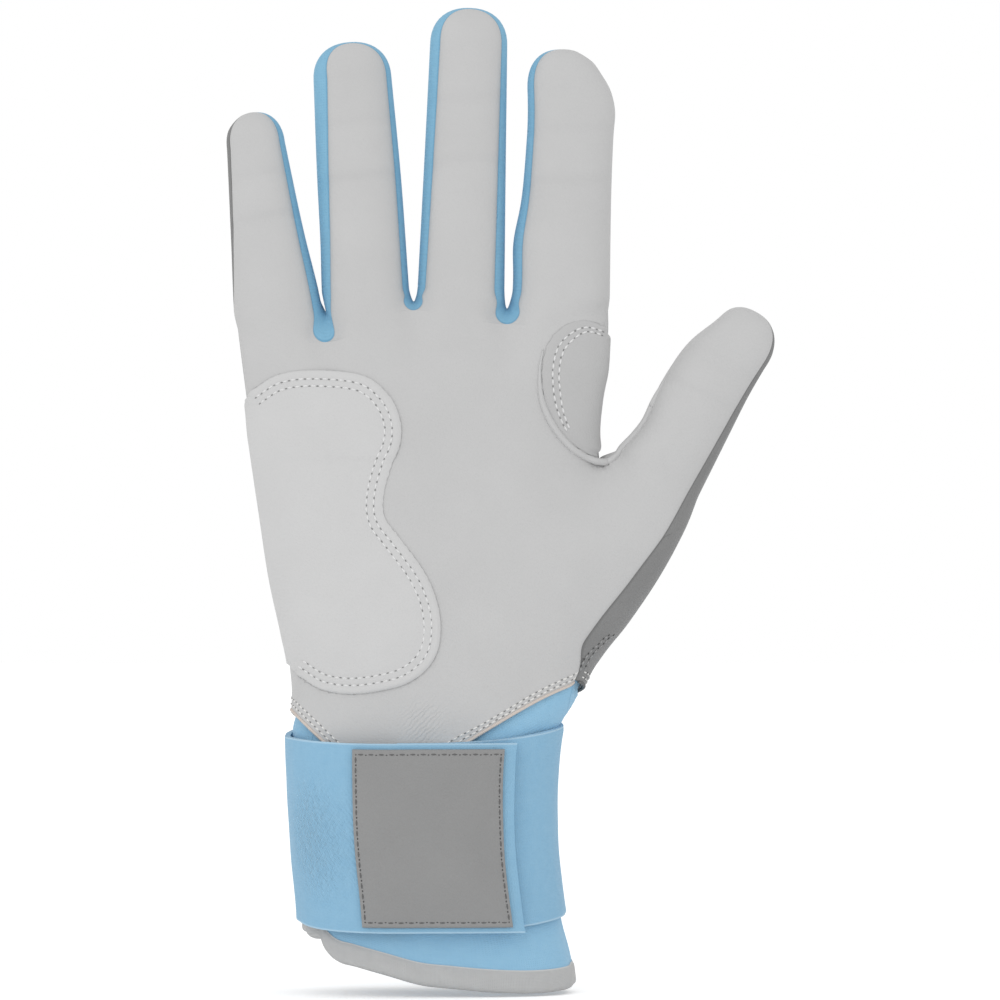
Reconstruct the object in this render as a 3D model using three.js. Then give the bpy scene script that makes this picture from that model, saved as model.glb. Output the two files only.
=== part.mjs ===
// A right-hand batting glove with a long cuff and a hook-and-loop wrist strap, as worn on an open hand.
// Millimetres. +X points to the thumb side, -Y out of the palm, +Z along the fingers.
// The origin is the middle of the cuff's mouth, where the hand goes in.
import * as THREE from "three";

// Sheet thicknesses and the clearances between sewn or stacked layers
const leatherThick = 1.0;
const fourchetteThick = 0.8;
const patchThick = 1.1;
const cuffThick = 1.8;
const bindingThick = 2.6;
const bindingProud = 0.5;
const strapThick = 1.4;
const loopThick = 0.6;
const hookThick = 0.6;
const badgeThick = 1.0;
const seamGap = 0.3;
const layerGap = 0.3;
const patchGap = 0.55;
const strapClearance = 0.2;
const strapGap = bindingProud + strapClearance;

// How full the sections are: 2 is an ellipse, more is squarer
const fingerFullness = 2.4;
const tipFullness = 2.3;
const handFullness = 2.6;

// The four fingers from the little finger's side, and the thumb. Lengths run from the base crease to the
// tip, tilt is the lean towards the thumb in degrees, and knuckle is the distance from the base crease to
// the middle one. half and depth are the half width and half depth at the base, at the knuckle and where
// the tip starts to round. seam is the share of the half width that the palm leather covers, at the base
// and at the tip. Where there is a fourchette, a stretch side wall lies between palm and back leather;
// elsewhere the two are sewn to each other.
const little = {
  name: "little", length: 51.9, tilt: -7.1, knuckle: 23, tipRound: 9, tipShift: 0, curl: 3, creaseZ: 175,
  half: [11.5, 9.5, 7.9], depth: [8.6, 7.8, 6.6],
  left: { seam: [1, 0.92], fourchette: false }, right: { seam: [0.84, 0.86], fourchette: true },
};
const ring = {
  name: "ring", length: 66.1, tilt: -3.7, knuckle: 29, tipRound: 10, tipShift: 0, curl: 4, creaseZ: 179.2,
  half: [11.6, 11.4, 10.6], depth: [9.2, 8.6, 7.2],
  left: { seam: [0.82, 0.66], fourchette: true }, right: { seam: [0.88, 0.9], fourchette: true },
};
const middle = {
  name: "middle", length: 74.7, tilt: 1.8, knuckle: 33, tipRound: 10, tipShift: 0, curl: 4, creaseZ: 179.6,
  half: [11.8, 11.1, 10.5], depth: [9.6, 8.9, 7.4],
  left: { seam: [0.84, 0.76], fourchette: true }, right: { seam: [0.79, 0.88], fourchette: true },
};
const index = {
  name: "index", length: 65, tilt: 3.2, knuckle: 29, tipRound: 12, tipShift: -2.6, curl: 4, creaseZ: 178.2,
  half: [13.1, 11.9, 11.5], depth: [9.6, 8.9, 7.4],
  left: { seam: [0.84, 0.87], fourchette: true }, right: { seam: [1, 1], fourchette: false },
};
const thumb = {
  name: "thumb", length: 49.1, tilt: 30, knuckle: 22, tipRound: 12, tipShift: 1.8, curl: 3, creaseZ: 131.5,
  half: [12.7, 11.3, 10.5], depth: [10.6, 9.6, 7.8], creaseX: 61.2,
  left: { seam: [1, 1], fourchette: false }, right: { seam: [0.79, 0.94], fourchette: false },
};
const fingers = [little, ring, middle, index];
const middleX = 8.3;
const fingerGaps = [0.9, 1.9, 1.8];
const backSeam = 0.86;
const apexSeam = 0.94;

// Notches in the leather between neighbouring fingers: half width, drop of the notch's foot below the lower
// crease of its two fingers, and how far the stretch web rises from that foot between the fingers
const littleRingNotch = { half: 3.2, drop: 9.9, rise: 8.4 };
const ringMiddleNotch = { half: 2.4, drop: 5.6, rise: 2.6 };
const middleIndexNotch = { half: 3.1, drop: 8.3, rise: 4.4 };
const notches = [littleRingNotch, ringMiddleNotch, middleIndexNotch];
const notchDepth = 3;
// How far below the outer fingers' creases the stems end at the hand's two edges
const stemDrop = { little: 11.5, index: 10.2 };

// The hand's edges seen from the palm, as [height, x]: the little finger's side, the thumb's side below its
// crotch and the forefinger's side above it. The stations that meet a finger come from the finger itself.
const crotch = { x: 45.9, z: 133.4 };
const crotchRow = { left: 131.5, thumb: 113 };
const stemFoot = { x: 24, z: 70 };
const ulnarStations = [
  [-14, -34.4], [11, -33.6], [30, -35.2], [46, -36.1], [60, -36.6], [72, -37], [86, -39], [102, -42.5],
  [118, -44.9], [134, -47.3], [150, -49.4],
];
const radialStations = [
  [-14, 36.8], [0, 36.2], [11, 34.4], [30, 32.3], [46, 32], [60, 33.6], [70, 38], [75, 40.6], [82, 46],
  [90, 52], [102, 60], [114, 66.6],
];
const forefingerStations = [[142, 45], [150, 45.6], [158, 47.2], [166, 48]];

// Half depths from the seam plane to the palm and to the back of the hand, as [height, depth]
const palmDepth = [
  [-14, 22.5], [40, 21.5], [66, 21.5], [90, 20], [110, 18.2], [135, 15.6], [160, 12.6], [180, 10],
];
const backDepth = [
  [-14, 22.5], [40, 21.5], [66, 20.5], [90, 18], [110, 16.4], [135, 14.6], [160, 12.8], [180, 10.4],
];
const edgeRound = 46;

// The palm leather's edge on the thumb side, as [height, share of the half width]; the back leather wraps
// round to it
const radialSeam = [[70, 0.93], [78, 0.915], [86, 0.82], [102, 0.865], [116, 0.925], [126, 0.945]];

// Hems: the palm leather ends in a tongue on the wrist, the back leather in a shallow arc
const palmHem = {
  leftX: -37, leftZ: 72, leftSlope: 0.96, rightX: 38.2, rightZ: 77.6, rightSlope: 0.52, round: 6,
};
const backHem = { left: 72, right: 77.6, sag: 9 };
const hemEase = 0.06;

// The cuff's mouth lies in a tilted plane, low towards the thumb and the palm; a slit opens it in front
const mouthTilt = { x: 6, y: 5.8 };
const bindingHeight = 7.2;
const slitCorner = 8;
const slitColumn = 4;

// Patches on the palm leather, as [x, z] points of their curved edge. Their straight side runs beside the
// panel's own edge, at a share of its half width, and starts and ends in from the curved edge's ends.
const heelEdge = [
  [-46.5, 151.4], [-40, 155.6], [-30.4, 157.4], [-17.4, 156.2], [-10.6, 151], [-7.6, 144.4], [-7.6, 138],
  [-10, 131.4], [-11.8, 124], [-11.4, 118.4], [-7.6, 113.2], [-1, 104], [2.4, 95.4], [3, 87], [0.8, 80.2],
  [-5, 75], [-13, 72.6], [-21.2, 71.8], [-28.6, 73], [-33.6, 76],
];
const heelSideShare = -0.975;
const crotchEdge = [
  [44.6, 168.6], [40.6, 169.8], [35.6, 168.2], [31.4, 164], [29.6, 158], [30, 150.6], [32.6, 144.4],
  [37, 139.8], [40.6, 137.6],
];
const crotchSideShare = 0.985;
const patchSideInset = 4;

// The wrist strap: its height, the height of its middle line round the wrist, and where its layers end
// across the front
const strapHeight = 50;
const strapMiddle = { hinge: 35.6, front: 34, thumbSide: 39.6, back: 38.6 };
const tabEnd = 21.8;
const tabRiseEnd = -10;
const bandEnd = -8;
const hookWidth = 24;
const loopWidth = 26;
const tapeInset = 1.6;
const tapeMargin = 3;
const badgeWidth = 40;
const badgeHeight = 47;
const badgeInset = 1.2;

// Colours and finishes
const palmLeather = { color: 0xc9c9c9, roughness: 0.62, metalness: 0 };
const backLeather = { color: 0x878787, roughness: 0.6, metalness: 0 };
const stretchKnit = { color: 0x7fb2d8, roughness: 0.8, metalness: 0 };
const neoprene = { color: 0x8abbe0, roughness: 0.85, metalness: 0 };
const bindingTape = { color: 0xc4c1bd, roughness: 0.8, metalness: 0 };
const badgeLeather = { color: 0x929392, roughness: 0.6, metalness: 0 };
const hookTape = { color: 0x6f9cc0, roughness: 0.9, metalness: 0 };

// Facets: columns across the pieces and rows along them, in degrees over the round tips
const fingerColumns = 6;
const thumbColumns = 6;
const fourchetteColumns = 3;
const baseRows = 5;
const tipRows = 4;
const capAngles = [22, 44, 64, 80];
const panelApex = 87;
const fourchetteApex = 90;
const rowsAboveCrotch = 4;
const rowsBelowCrotch = 7;
const cuffRows = 5;
const strapRows = 4;
const bandColumns = 36;
const tabColumns = 16;
const badgeColumns = 10;
const tapeColumns = 6;
const patchColumns = 6;

const glove = new THREE.Group();
const { lerp, clamp, smoothstep, degToRad } = THREE.MathUtils;
const steps = (count, from = 0, to = 1) =>
  Array.from({ length: count + 1 }, (_, i) => lerp(from, to, i / count));

// A smooth curve through [position, value] stations, as a function of the position.
function profile(stations) {
  const at = stations.map(([position]) => position);
  const value = stations.map(([, height]) => height);
  const last = at.length - 1;
  const slope = at.map((_, i) => {
    const before = Math.max(i - 1, 0);
    const after = Math.min(i + 1, last);
    return (value[after] - value[before]) / (at[after] - at[before]);
  });
  return (position) => {
    const p = clamp(position, at[0], at[last]);
    const i = Math.min(at.findLastIndex((station) => station <= p), last - 1);
    const span = at[i + 1] - at[i];
    const t = (p - at[i]) / span;
    const ends = (1 + 2 * t) * (1 - t) ** 2 * value[i] + t * t * (3 - 2 * t) * value[i + 1];
    return ends + span * (t * (1 - t) ** 2 * slope[i] + t * t * (t - 1) * slope[i + 1]);
  };
}

// The two coordinates of a superellipse of half axes 1, and the angle at which it reaches a share of its
// half width.
const power = (value, fullness) => Math.sign(value) * Math.abs(value) ** (2 / fullness);
const across = (angle, fullness) => power(Math.cos(angle), fullness);
const outward = (angle, fullness) => power(Math.sin(angle), fullness);
const angleOf = (share, fullness) => Math.acos(clamp(power(share, 4 / fullness), -1, 1));

// The quads of a plain grid whose rows are arrays of points.
function grid(rows) {
  const width = rows[0].length;
  const quads = [];
  for (let j = 0; j + 1 < rows.length; j++) {
    for (let i = 0; i + 1 < width; i++) {
      const corner = j * width + i;
      quads.push([corner, corner + 1, corner + width + 1, corner + width]);
    }
  }
  return { points: rows.flat(), quads };
}

// Adds to a sheet the outward directions at its points; inside is a point behind the sheet.
function orient(sheet, inside) {
  const { points, quads } = sheet;
  const normals = points.map(() => new THREE.Vector3());
  for (const quad of quads) {
    const [a, b, c, d] = quad.map((i) => points[i]);
    const face = new THREE.Vector3().crossVectors(c.clone().sub(a), d.clone().sub(b)).normalize();
    quad.forEach((i) => normals[i].add(face));
  }
  const probe = quads[Math.floor(quads.length / 2)][0];
  const turned = normals[probe].dot(points[probe].clone().sub(inside)) < 0;
  if (turned) normals.forEach((normal) => normal.negate());
  return Object.assign(sheet, { normals, turned });
}

// A closed solid between two offsets of an oriented sheet. Its rim is drawn back from the seam by half the
// seam gap.
function sheetSolid({ points, quads, normals, turned }, low, high) {
  const edges = new Map();
  const middles = points.map(() => new THREE.Vector3());
  const uses = points.map(() => 0);
  for (const quad of quads) {
    const centre = quad.reduce((sum, i) => sum.add(points[i]), new THREE.Vector3()).divideScalar(4);
    quad.forEach((a, k) => {
      const b = quad[(k + 1) % 4];
      edges.set(`${a}:${b}`, [a, b]);
      middles[a].add(centre);
      uses[a] += 1;
    });
  }
  const rim = [...edges.values()].filter(([a, b]) => !edges.has(`${b}:${a}`));
  const along = points.map(() => new THREE.Vector3());
  for (const [a, b] of rim) {
    const step = points[b].clone().sub(points[a]).normalize();
    along[a].add(step);
    along[b].add(step);
  }
  const drawn = points.map((point, i) => {
    if (along[i].lengthSq() === 0) return point;
    const inward = middles[i].divideScalar(uses[i]).sub(point);
    const tangent = along[i].normalize();
    inward.addScaledVector(tangent, -inward.dot(tangent)).normalize();
    return point.clone().addScaledVector(inward, seamGap / 2);
  });
  const shell = [low, high].map((offset) =>
    drawn.map((point, i) => point.clone().addScaledVector(normals[i].clone().normalize(), offset)),
  );
  const top = points.length;
  const triangles = [];
  const facet = (a, b, c, d) => triangles.push(...(turned ? [a, c, b, a, d, c] : [a, b, c, a, c, d]));
  for (const [a, b, c, d] of quads) {
    facet(a + top, b + top, c + top, d + top);
    facet(d, c, b, a);
  }
  for (const [a, b] of rim) facet(b + top, a + top, a, b);
  const geometry = new THREE.BufferGeometry().setFromPoints(shell.flat());
  geometry.setIndex(triangles);
  return geometry;
}

function addPiece(name, geometry, finish) {
  geometry.computeVertexNormals();
  const piece = new THREE.Mesh(geometry, new THREE.MeshStandardMaterial(finish));
  piece.name = name;
  glove.add(piece);
}

// The glove's skin is collected first, so that panels that meet at a seam share their outward directions
// there.
const skin = [];
function addSkin(name, sheet, inside, low, high, finish) {
  skin.push({ name, sheet: orient(sheet, inside), low, high, finish });
}
function sewSkin() {
  const shared = new Map();
  const keyOf = (point) => point.toArray().map((value) => Math.round(value * 50)).join();
  for (const { sheet } of skin) {
    sheet.points.forEach((point, i) => {
      const key = keyOf(point);
      if (!shared.has(key)) shared.set(key, new THREE.Vector3());
      shared.get(key).add(sheet.normals[i]);
    });
  }
  for (const { name, sheet, low, high, finish } of skin) {
    const normals = sheet.points.map((point) => shared.get(keyOf(point)));
    addPiece(name, sheetSolid({ ...sheet, normals }, low, high), finish);
  }
}

// Each finger stands beside its neighbour, so a wider finger moves the ones outside it along.
middle.creaseX = middleX;
ring.creaseX = middle.creaseX - middle.half[0] - fingerGaps[1] - ring.half[0];
little.creaseX = ring.creaseX - ring.half[0] - fingerGaps[0] - little.half[0];
index.creaseX = middle.creaseX + middle.half[0] + fingerGaps[2] + index.half[0];

// Gives a finger its shape functions. Along it, q is the distance from the base crease and p the way
// across.
function shapeFinger(finger) {
  const tipStart = finger.length - finger.tipRound;
  const stations = (values) => [[0, values[0]], [finger.knuckle, values[1]], [tipStart, values[2]]];
  const half = profile(stations(finger.half));
  const depth = profile(stations(finger.depth));
  const lean = degToRad(finger.tilt);
  const height = (p, q) => {
    const over = clamp((q - tipStart) / finger.tipRound, 0, 1);
    const round = (1 - over ** tipFullness) ** (1 / tipFullness);
    if (round === 0) return 0;
    const share = clamp(Math.abs(p) / (half(q) * round), 0, 1);
    return depth(q) * round * (1 - share ** fingerFullness) ** (1 / fingerFullness);
  };
  finger.place = (p, y, q) => {
    const nearTip = clamp((q - tipStart) / (2 * finger.tipRound) + 0.5, 0, 1);
    const side = p + finger.tipShift * nearTip ** 2;
    const forward = finger.curl * (q / finger.length) ** 2;
    const x = finger.creaseX + side * Math.cos(lean) + q * Math.sin(lean);
    const z = finger.creaseZ - side * Math.sin(lean) + q * Math.cos(lean);
    return new THREE.Vector3(x, y - forward, z);
  };
  // A row lies across the finger; over the round tip it is bowed up towards the tip.
  const bodyRow = (q) => ({ q, wide: half(q), rise: 0, turn: 0 });
  const capRow = (degrees) => ({
    q: tipStart,
    wide: half(tipStart) * across(degToRad(degrees), tipFullness),
    rise: finger.tipRound * outward(degToRad(degrees), tipFullness),
    turn: degrees / 90,
  });
  // The share of a row's half width at which a leather panel ends on one side.
  const edgeShare = (side, row, front) => {
    const { seam, fourchette } = finger[side];
    const along = row.q / tipStart;
    const body = front || !fourchette ? lerp(seam[0], seam[1], along) : backSeam;
    const apex = finger.left.fourchette && finger.right.fourchette ? apexSeam : 1;
    return lerp(body, apex, smoothstep(row.turn, 0, 1));
  };
  // A row of points over the palm side or the back, from the left seam to the right one.
  finger.panelRow = (row, front, columns) => {
    const shares = ["left", "right"].map((side) => edgeShare(side, row, front));
    const turns = ["left", "right"].map((side, k) => {
      const turn = angleOf(shares[k], fingerFullness);
      return front || !finger[side].fourchette ? turn : -turn;
    });
    const end = front ? turns[1] : 2 * Math.PI + turns[1];
    return steps(columns).map((v) => {
      const angle = lerp(Math.PI - turns[0], end, v);
      const p = row.wide * across(angle, fingerFullness);
      const q = row.q + row.rise * lerp(shares[0], shares[1], v);
      return finger.place(p, -Math.sign(Math.sin(angle)) * height(p, q), q);
    });
  };
  // A row of points over a side wall, from the palm leather's edge to the back leather's.
  finger.fourchetteRow = (row, side) => {
    const hand = side === "left" ? -1 : 1;
    const front = angleOf(edgeShare(side, row, true), fingerFullness);
    const back = -angleOf(edgeShare(side, row, false), fingerFullness);
    return steps(fourchetteColumns, front, back).map((angle) => {
      const share = across(angle, fingerFullness);
      const p = hand * row.wide * share;
      const q = row.q + row.rise * share;
      return finger.place(p, -Math.sign(angle) * height(p, q), q);
    });
  };
  finger.crease = bodyRow(0);
  finger.body = {
    base: steps(baseRows, 0, finger.knuckle).map(bodyRow),
    tip: [...steps(tipRows, finger.knuckle, tipStart).map(bodyRow), ...capAngles.map(capRow)],
  };
  finger.apex = { base: () => [], tip: (degrees) => [capRow(degrees)] };
}
[...fingers, thumb].forEach(shapeFinger);

// Every finger is sewn in two lengths, base and tip, that meet at the knuckle crease.
for (const finger of [...fingers, thumb]) {
  const core = finger.place(0, 0, finger.knuckle);
  for (const part of ["base", "tip"]) {
    const panelRows = [...finger.body[part], ...finger.apex[part](panelApex)];
    const wallRows = [...finger.body[part], ...finger.apex[part](fourchetteApex)];
    for (const [face, front, finish] of [["palm", true, palmLeather], ["back", false, backLeather]]) {
      const sheet = grid(panelRows.map((row) => finger.panelRow(row, front, fingerColumns)));
      addSkin(`${finger.name}_${part}_${face}`, sheet, core, -leatherThick, 0, finish);
    }
    for (const side of ["left", "right"].filter((name) => finger[name].fourchette)) {
      const sheet = grid(wallRows.map((row) => finger.fourchetteRow(row, side)));
      addSkin(`${finger.name}_${part}_fourchette_${side}`, sheet, core, -fourchetteThick, 0, stretchKnit);
    }
  }
}

// The hand between the fingers and the cuff's mouth, as level sections. Above the crotch a section ends at
// the forefinger's side, below it at the thumb's.
const littleEdge = little.place(-little.half[0], 0, 0);
const indexEdge = index.place(index.half[0], 0, 0);
const thumbEdge = thumb.place(thumb.half[0], 0, 0);
const ulnarEdge = profile([...ulnarStations, [littleEdge.z, littleEdge.x]]);
const radialEdge = profile([...radialStations, [thumbEdge.z, thumbEdge.x]]);
const forefingerEdge = profile([[crotch.z, crotch.x], ...forefingerStations, [indexEdge.z, indexEdge.x]]);
const palmDepthAt = profile(palmDepth);
const backDepthAt = profile(backDepth);
const radialSeamAt = profile(radialSeam);

// The line from the crotch down to the hem on which the thumb's stem joins the palm.
function stemLine(z) {
  return lerp(stemFoot.x, crotch.x, (z - stemFoot.z) / (crotch.z - stemFoot.z));
}
// The share of the full depth at a distance in from an edge, rounding up like a superellipse.
function rimShare(distance, reach) {
  const share = clamp(1 - distance / reach, 0, 1);
  return (1 - share ** handFullness) ** (1 / handFullness);
}
// The skin's depth at a place seen from the palm: full inside, and nothing at the edges and at the crotch.
function skinDepth(x, z, front) {
  const deep = front ? palmDepthAt(z) : backDepthAt(z);
  const left = ulnarEdge(z);
  const above = z > crotch.z;
  const right = above ? forefingerEdge(z) : radialEdge(z);
  const reach = Math.min(edgeRound, (right - left) / 2);
  const fromCrotch = above ? edgeRound : Math.hypot(x - crotch.x, z - crotch.z);
  return deep * rimShare(x - left, reach) * rimShare(right - x, reach) * rimShare(fromCrotch, edgeRound);
}
// A point of the skin; angle 0 is the right edge, a quarter turn the palm and three quarters the back.
function handPoint(angle, z, rightEdge) {
  const x = lerp(ulnarEdge(z), rightEdge(z), (1 + across(angle, handFullness)) / 2);
  const front = Math.sin(angle) > 0;
  return new THREE.Vector3(x, (front ? -1 : 1) * skinDepth(x, z, front), z);
}
function angleAt(x, z, rightEdge) {
  const [left, right] = [ulnarEdge(z), rightEdge(z)];
  return angleOf((2 * x - left - right) / (right - left), handFullness);
}
// A point of a layer round the wrist, off the cuff's skin by an offset.
function wristPoint(angle, z, offset) {
  const [left, right] = [ulnarEdge(z) - offset, radialEdge(z) + offset];
  const deep = (Math.sin(angle) > 0 ? palmDepthAt(z) : backDepthAt(z)) + offset;
  const x = lerp(left, right, (1 + across(angle, handFullness)) / 2);
  return new THREE.Vector3(x, -deep * outward(angle, handFullness), z);
}

// The foot of each notch between two fingers, on the line that the gap between them follows.
notches.forEach((notch, k) => {
  const [a, b] = [fingers[k], fingers[k + 1]];
  const top = a.place(a.half[0], 0, 0).add(b.place(-b.half[0], 0, 0)).divideScalar(2);
  notch.z = Math.min(a.creaseZ, b.creaseZ) - notch.drop;
  notch.x = top.x - Math.tan(degToRad((a.tilt + b.tilt) / 2)) * (top.z - notch.z);
});

const palmColumns = fingers.length * fingerColumns;
const hemColumns = palmColumns + thumbColumns;

// The hem's points on the palm or the back, as [angle, height], from the little finger's side to the
// radial seam.
function hemRow(front) {
  const seam = angleOf(radialSeamAt(palmHem.rightZ), handFullness);
  const stem = angleAt(stemFoot.x, stemFoot.z, radialEdge);
  const [stemTurn, end] = front ? [stem, seam] : [2 * Math.PI - stem, 2 * Math.PI + seam];
  const angles = [...steps(palmColumns, Math.PI, stemTurn), ...steps(thumbColumns, stemTurn, end).slice(1)];
  return angles.map((angle, i) => {
    const { x } = handPoint(angle, palmHem.leftZ, radialEdge);
    const leftLine = palmHem.leftZ - palmHem.leftSlope * (x - palmHem.leftX);
    const rightLine = palmHem.rightZ - palmHem.rightSlope * (palmHem.rightX - x);
    const tongue = (leftLine + rightLine + Math.hypot(leftLine - rightLine, palmHem.round)) / 2;
    const share = i / hemColumns;
    const arc = lerp(backHem.left, backHem.right, share) - backHem.sag * Math.sin(Math.PI * share);
    const ends = smoothstep(Math.min(share, 1 - share), 0, hemEase);
    return [angle, front ? lerp(arc, tongue, ends) : arc];
  });
}
const palmHemRow = hemRow(true);
const backHemRow = hemRow(false);

// The palm or back panel: four finger stems that merge below the notches, and the thumb's stem from the
// crotch down.
function handPanel(front) {
  const points = [];
  const quads = [];
  const put = (point) => points.push(point) - 1;
  const weave = (upper, lower) => {
    for (let i = 0; i + 1 < upper.length; i++) quads.push([upper[i], upper[i + 1], lower[i + 1], lower[i]]);
  };
  const turn = (angle) => (front ? angle : 2 * Math.PI - angle);
  const sink = (point, by) => {
    point.y = front ? Math.min(point.y + by, -1) : Math.max(point.y - by, 1);
    return point;
  };
  // The line on which the stems merge, through the feet of the notches.
  const left = little.creaseZ - stemDrop.little;
  const right = index.creaseZ - stemDrop.index;
  const feetX = [ulnarEdge(left), ...notches.map(({ x }) => x), forefingerEdge(right)];
  const feetZ = [left, ...notches.map(({ z }) => z), right];
  const mergeLine = Array.from({ length: palmColumns + 1 }, (_, i) => {
    const g = Math.min(Math.floor(i / fingerColumns), fingers.length - 1);
    const v = i / fingerColumns - g;
    const z = lerp(feetZ[g], feetZ[g + 1], v);
    const x = lerp(feetX[g], feetX[g + 1], v);
    const inner = Math.abs(2 * v - 1) ** 3;
    const open = (v < 0.5 && g === 0) || (v > 0.5 && g === fingers.length - 1);
    return { z, angle: angleAt(x, z, forefingerEdge), dip: open ? 0 : notchDepth * inner };
  });
  mergeLine[0].angle = Math.PI;
  mergeLine[palmColumns].angle = 0;
  const upperRow = (t) => mergeLine.map(({ z, angle, dip }, i) => {
    const low = lerp(crotchRow.left, crotch.z, i / palmColumns);
    const point = handPoint(turn(angle), lerp(z, low, t), forefingerEdge);
    return dip * (1 - t) ** 4 > 0.01 ? sink(point, dip * (1 - t) ** 4) : point;
  });
  // Finger stems: each from its own crease to the line where they merge.
  const merged = upperRow(0);
  const stems = fingers.map((finger, g) => {
    const top = finger.panelRow(finger.crease, front, fingerColumns);
    const foot = merged.slice(g * fingerColumns, (g + 1) * fingerColumns + 1);
    const waist = top.map((point, v) => point.clone().lerp(foot[v], 0.5));
    const leftMove = g > 0 ? notches[g - 1].x + notches[g - 1].half - waist[0].x : 0;
    const rightMove = g < notches.length ? notches[g].x - notches[g].half - waist[fingerColumns].x : 0;
    waist.forEach((point, v) => (point.x += lerp(leftMove, rightMove, v / fingerColumns)));
    return { top, waist };
  });
  let above = merged.map(put);
  stems.forEach(({ top, waist }, g) => {
    const waistRow = waist.map(put);
    weave(top.map(put), waistRow);
    weave(waistRow, above.slice(g * fingerColumns, (g + 1) * fingerColumns + 1));
  });
  for (const t of steps(rowsAboveCrotch).slice(1)) {
    const row = upperRow(t).map(put);
    weave(above, row);
    above = row;
  }
  // The thumb's stem joins at the crotch, which is the last point of the row above.
  const hem = front ? palmHemRow : backHemRow;
  const start = above.map((id) => {
    const { x, z } = points[id];
    return { z, angle: turn(angleAt(x, z, radialEdge)) };
  });
  start[0].angle = Math.PI;
  for (const v of steps(thumbColumns).slice(1)) start.push({ z: lerp(crotch.z, crotchRow.thumb, v) });
  const lowerRow = (t) => {
    const seamZ = lerp(crotchRow.thumb, hem[hemColumns][1], t);
    const seamAngle = angleOf(radialSeamAt(seamZ), handFullness) + (front ? 0 : 2 * Math.PI);
    const stemZ = lerp(crotch.z, hem[palmColumns][1], t);
    const lineAngle = turn(angleAt(stemLine(stemZ), stemZ, radialEdge));
    const stemAngle = t < 1 ? lineAngle : hem[palmColumns][0];
    return start.map(({ z, angle }, i) => {
      const stem = (i - palmColumns) / thumbColumns;
      const turned = stem < 0 ? lerp(angle, hem[i][0], t) : lerp(stemAngle, seamAngle, stem);
      return handPoint(turned, lerp(z, hem[i][1], t), radialEdge);
    });
  };
  const crotchLine = [...above, ...lowerRow(0).slice(palmColumns + 1).map(put)];
  weave(thumb.panelRow(thumb.crease, front, thumbColumns).map(put), crotchLine.slice(palmColumns));
  above = crotchLine;
  for (const t of steps(rowsBelowCrotch).slice(1)) {
    const row = lowerRow(t).map(put);
    weave(above, row);
    above = row;
  }
  return { sheet: { points, quads }, stems, merged };
}
const palm = handPanel(true);
const back = handPanel(false);
const handCore = new THREE.Vector3(0, 0, crotch.z);
addSkin("palm_panel", palm.sheet, handCore, -leatherThick, 0, palmLeather);
addSkin("back_panel", back.sheet, handCore, -leatherThick, 0, backLeather);

// Stretch webs: saddles between two fingers, from the notch in the palm leather to the one in the back
// leather.
notches.forEach((notch, k) => {
  const [a, b] = [fingers[k], fingers[k + 1]];
  const foot = [palm, back].map(({ merged }) => merged[(k + 1) * fingerColumns]);
  const saddle = steps(fourchetteColumns).map((t) => {
    const point = foot[0].clone().lerp(foot[1], t);
    point.z += notch.rise * Math.sin(Math.PI * t) ** 0.8;
    return point;
  });
  const wall = (finger, side, g, v) => {
    const top = finger.fourchetteRow(finger.crease, side);
    const waist = [palm, back].map(({ stems }) => stems[g].waist[v]);
    const between = top.map((point, i) => point.clone().lerp(saddle[i], 0.5));
    between[0] = waist[0];
    between[fourchetteColumns] = waist[1];
    return [top, between];
  };
  const [leftTop, leftWaist] = wall(a, "right", k, fingerColumns);
  const [rightTop, rightWaist] = wall(b, "left", k + 1, 0);
  const below = new THREE.Vector3(notch.x, 0, notch.z - notch.drop);
  const sheet = grid([leftTop, leftWaist, saddle, rightWaist, rightTop]);
  addSkin(`${a.name}_${b.name}_web`, sheet, below, -fourchetteThick, 0, stretchKnit);
});

// The cuff: a palm-side flap from the slit to the radial seam, and a back part that goes on round to the
// slit.
const mouthAt = (angle) => -mouthTilt.x * Math.cos(angle) - mouthTilt.y * Math.sin(angle);
const slitX = handPoint(palmHemRow[slitColumn][0], 0, radialEdge).x;
function cornerRise(angle) {
  const from = Math.min(handPoint(angle, 0, radialEdge).x - slitX, slitCorner);
  return slitCorner - Math.sqrt(slitCorner ** 2 - (slitCorner - from) ** 2);
}
const flapLine = palmHemRow.slice(slitColumn).map(([angle, hem]) => ({
  angle, hem, mouth: mouthAt(angle) + cornerRise(angle),
}));
const wrapRow = [...[...backHemRow].reverse(), ...palmHemRow.slice(1, slitColumn + 1)];
const wrapLine = wrapRow.map(([angle, hem]) => ({ angle, hem, mouth: mouthAt(angle) }));
const cuffCore = new THREE.Vector3(0, 0, strapMiddle.front);
for (const [side, line] of [["palm", flapLine], ["back", wrapLine]]) {
  const levels = (count, top, foot) => grid(steps(count).map((t) =>
    line.map((column) => handPoint(column.angle, lerp(top(column), foot(column), t), radialEdge)),
  ));
  const bound = ({ mouth }) => mouth + bindingHeight;
  const sleeve = levels(cuffRows, ({ hem }) => hem, bound);
  addSkin(`cuff_${side}`, sleeve, cuffCore, -cuffThick, 0, neoprene);
  const tape = levels(1, bound, ({ mouth }) => mouth);
  addSkin(`cuff_${side}_binding`, tape, cuffCore, bindingProud - bindingThick, bindingProud, bindingTape);
}
sewSkin();

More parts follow.
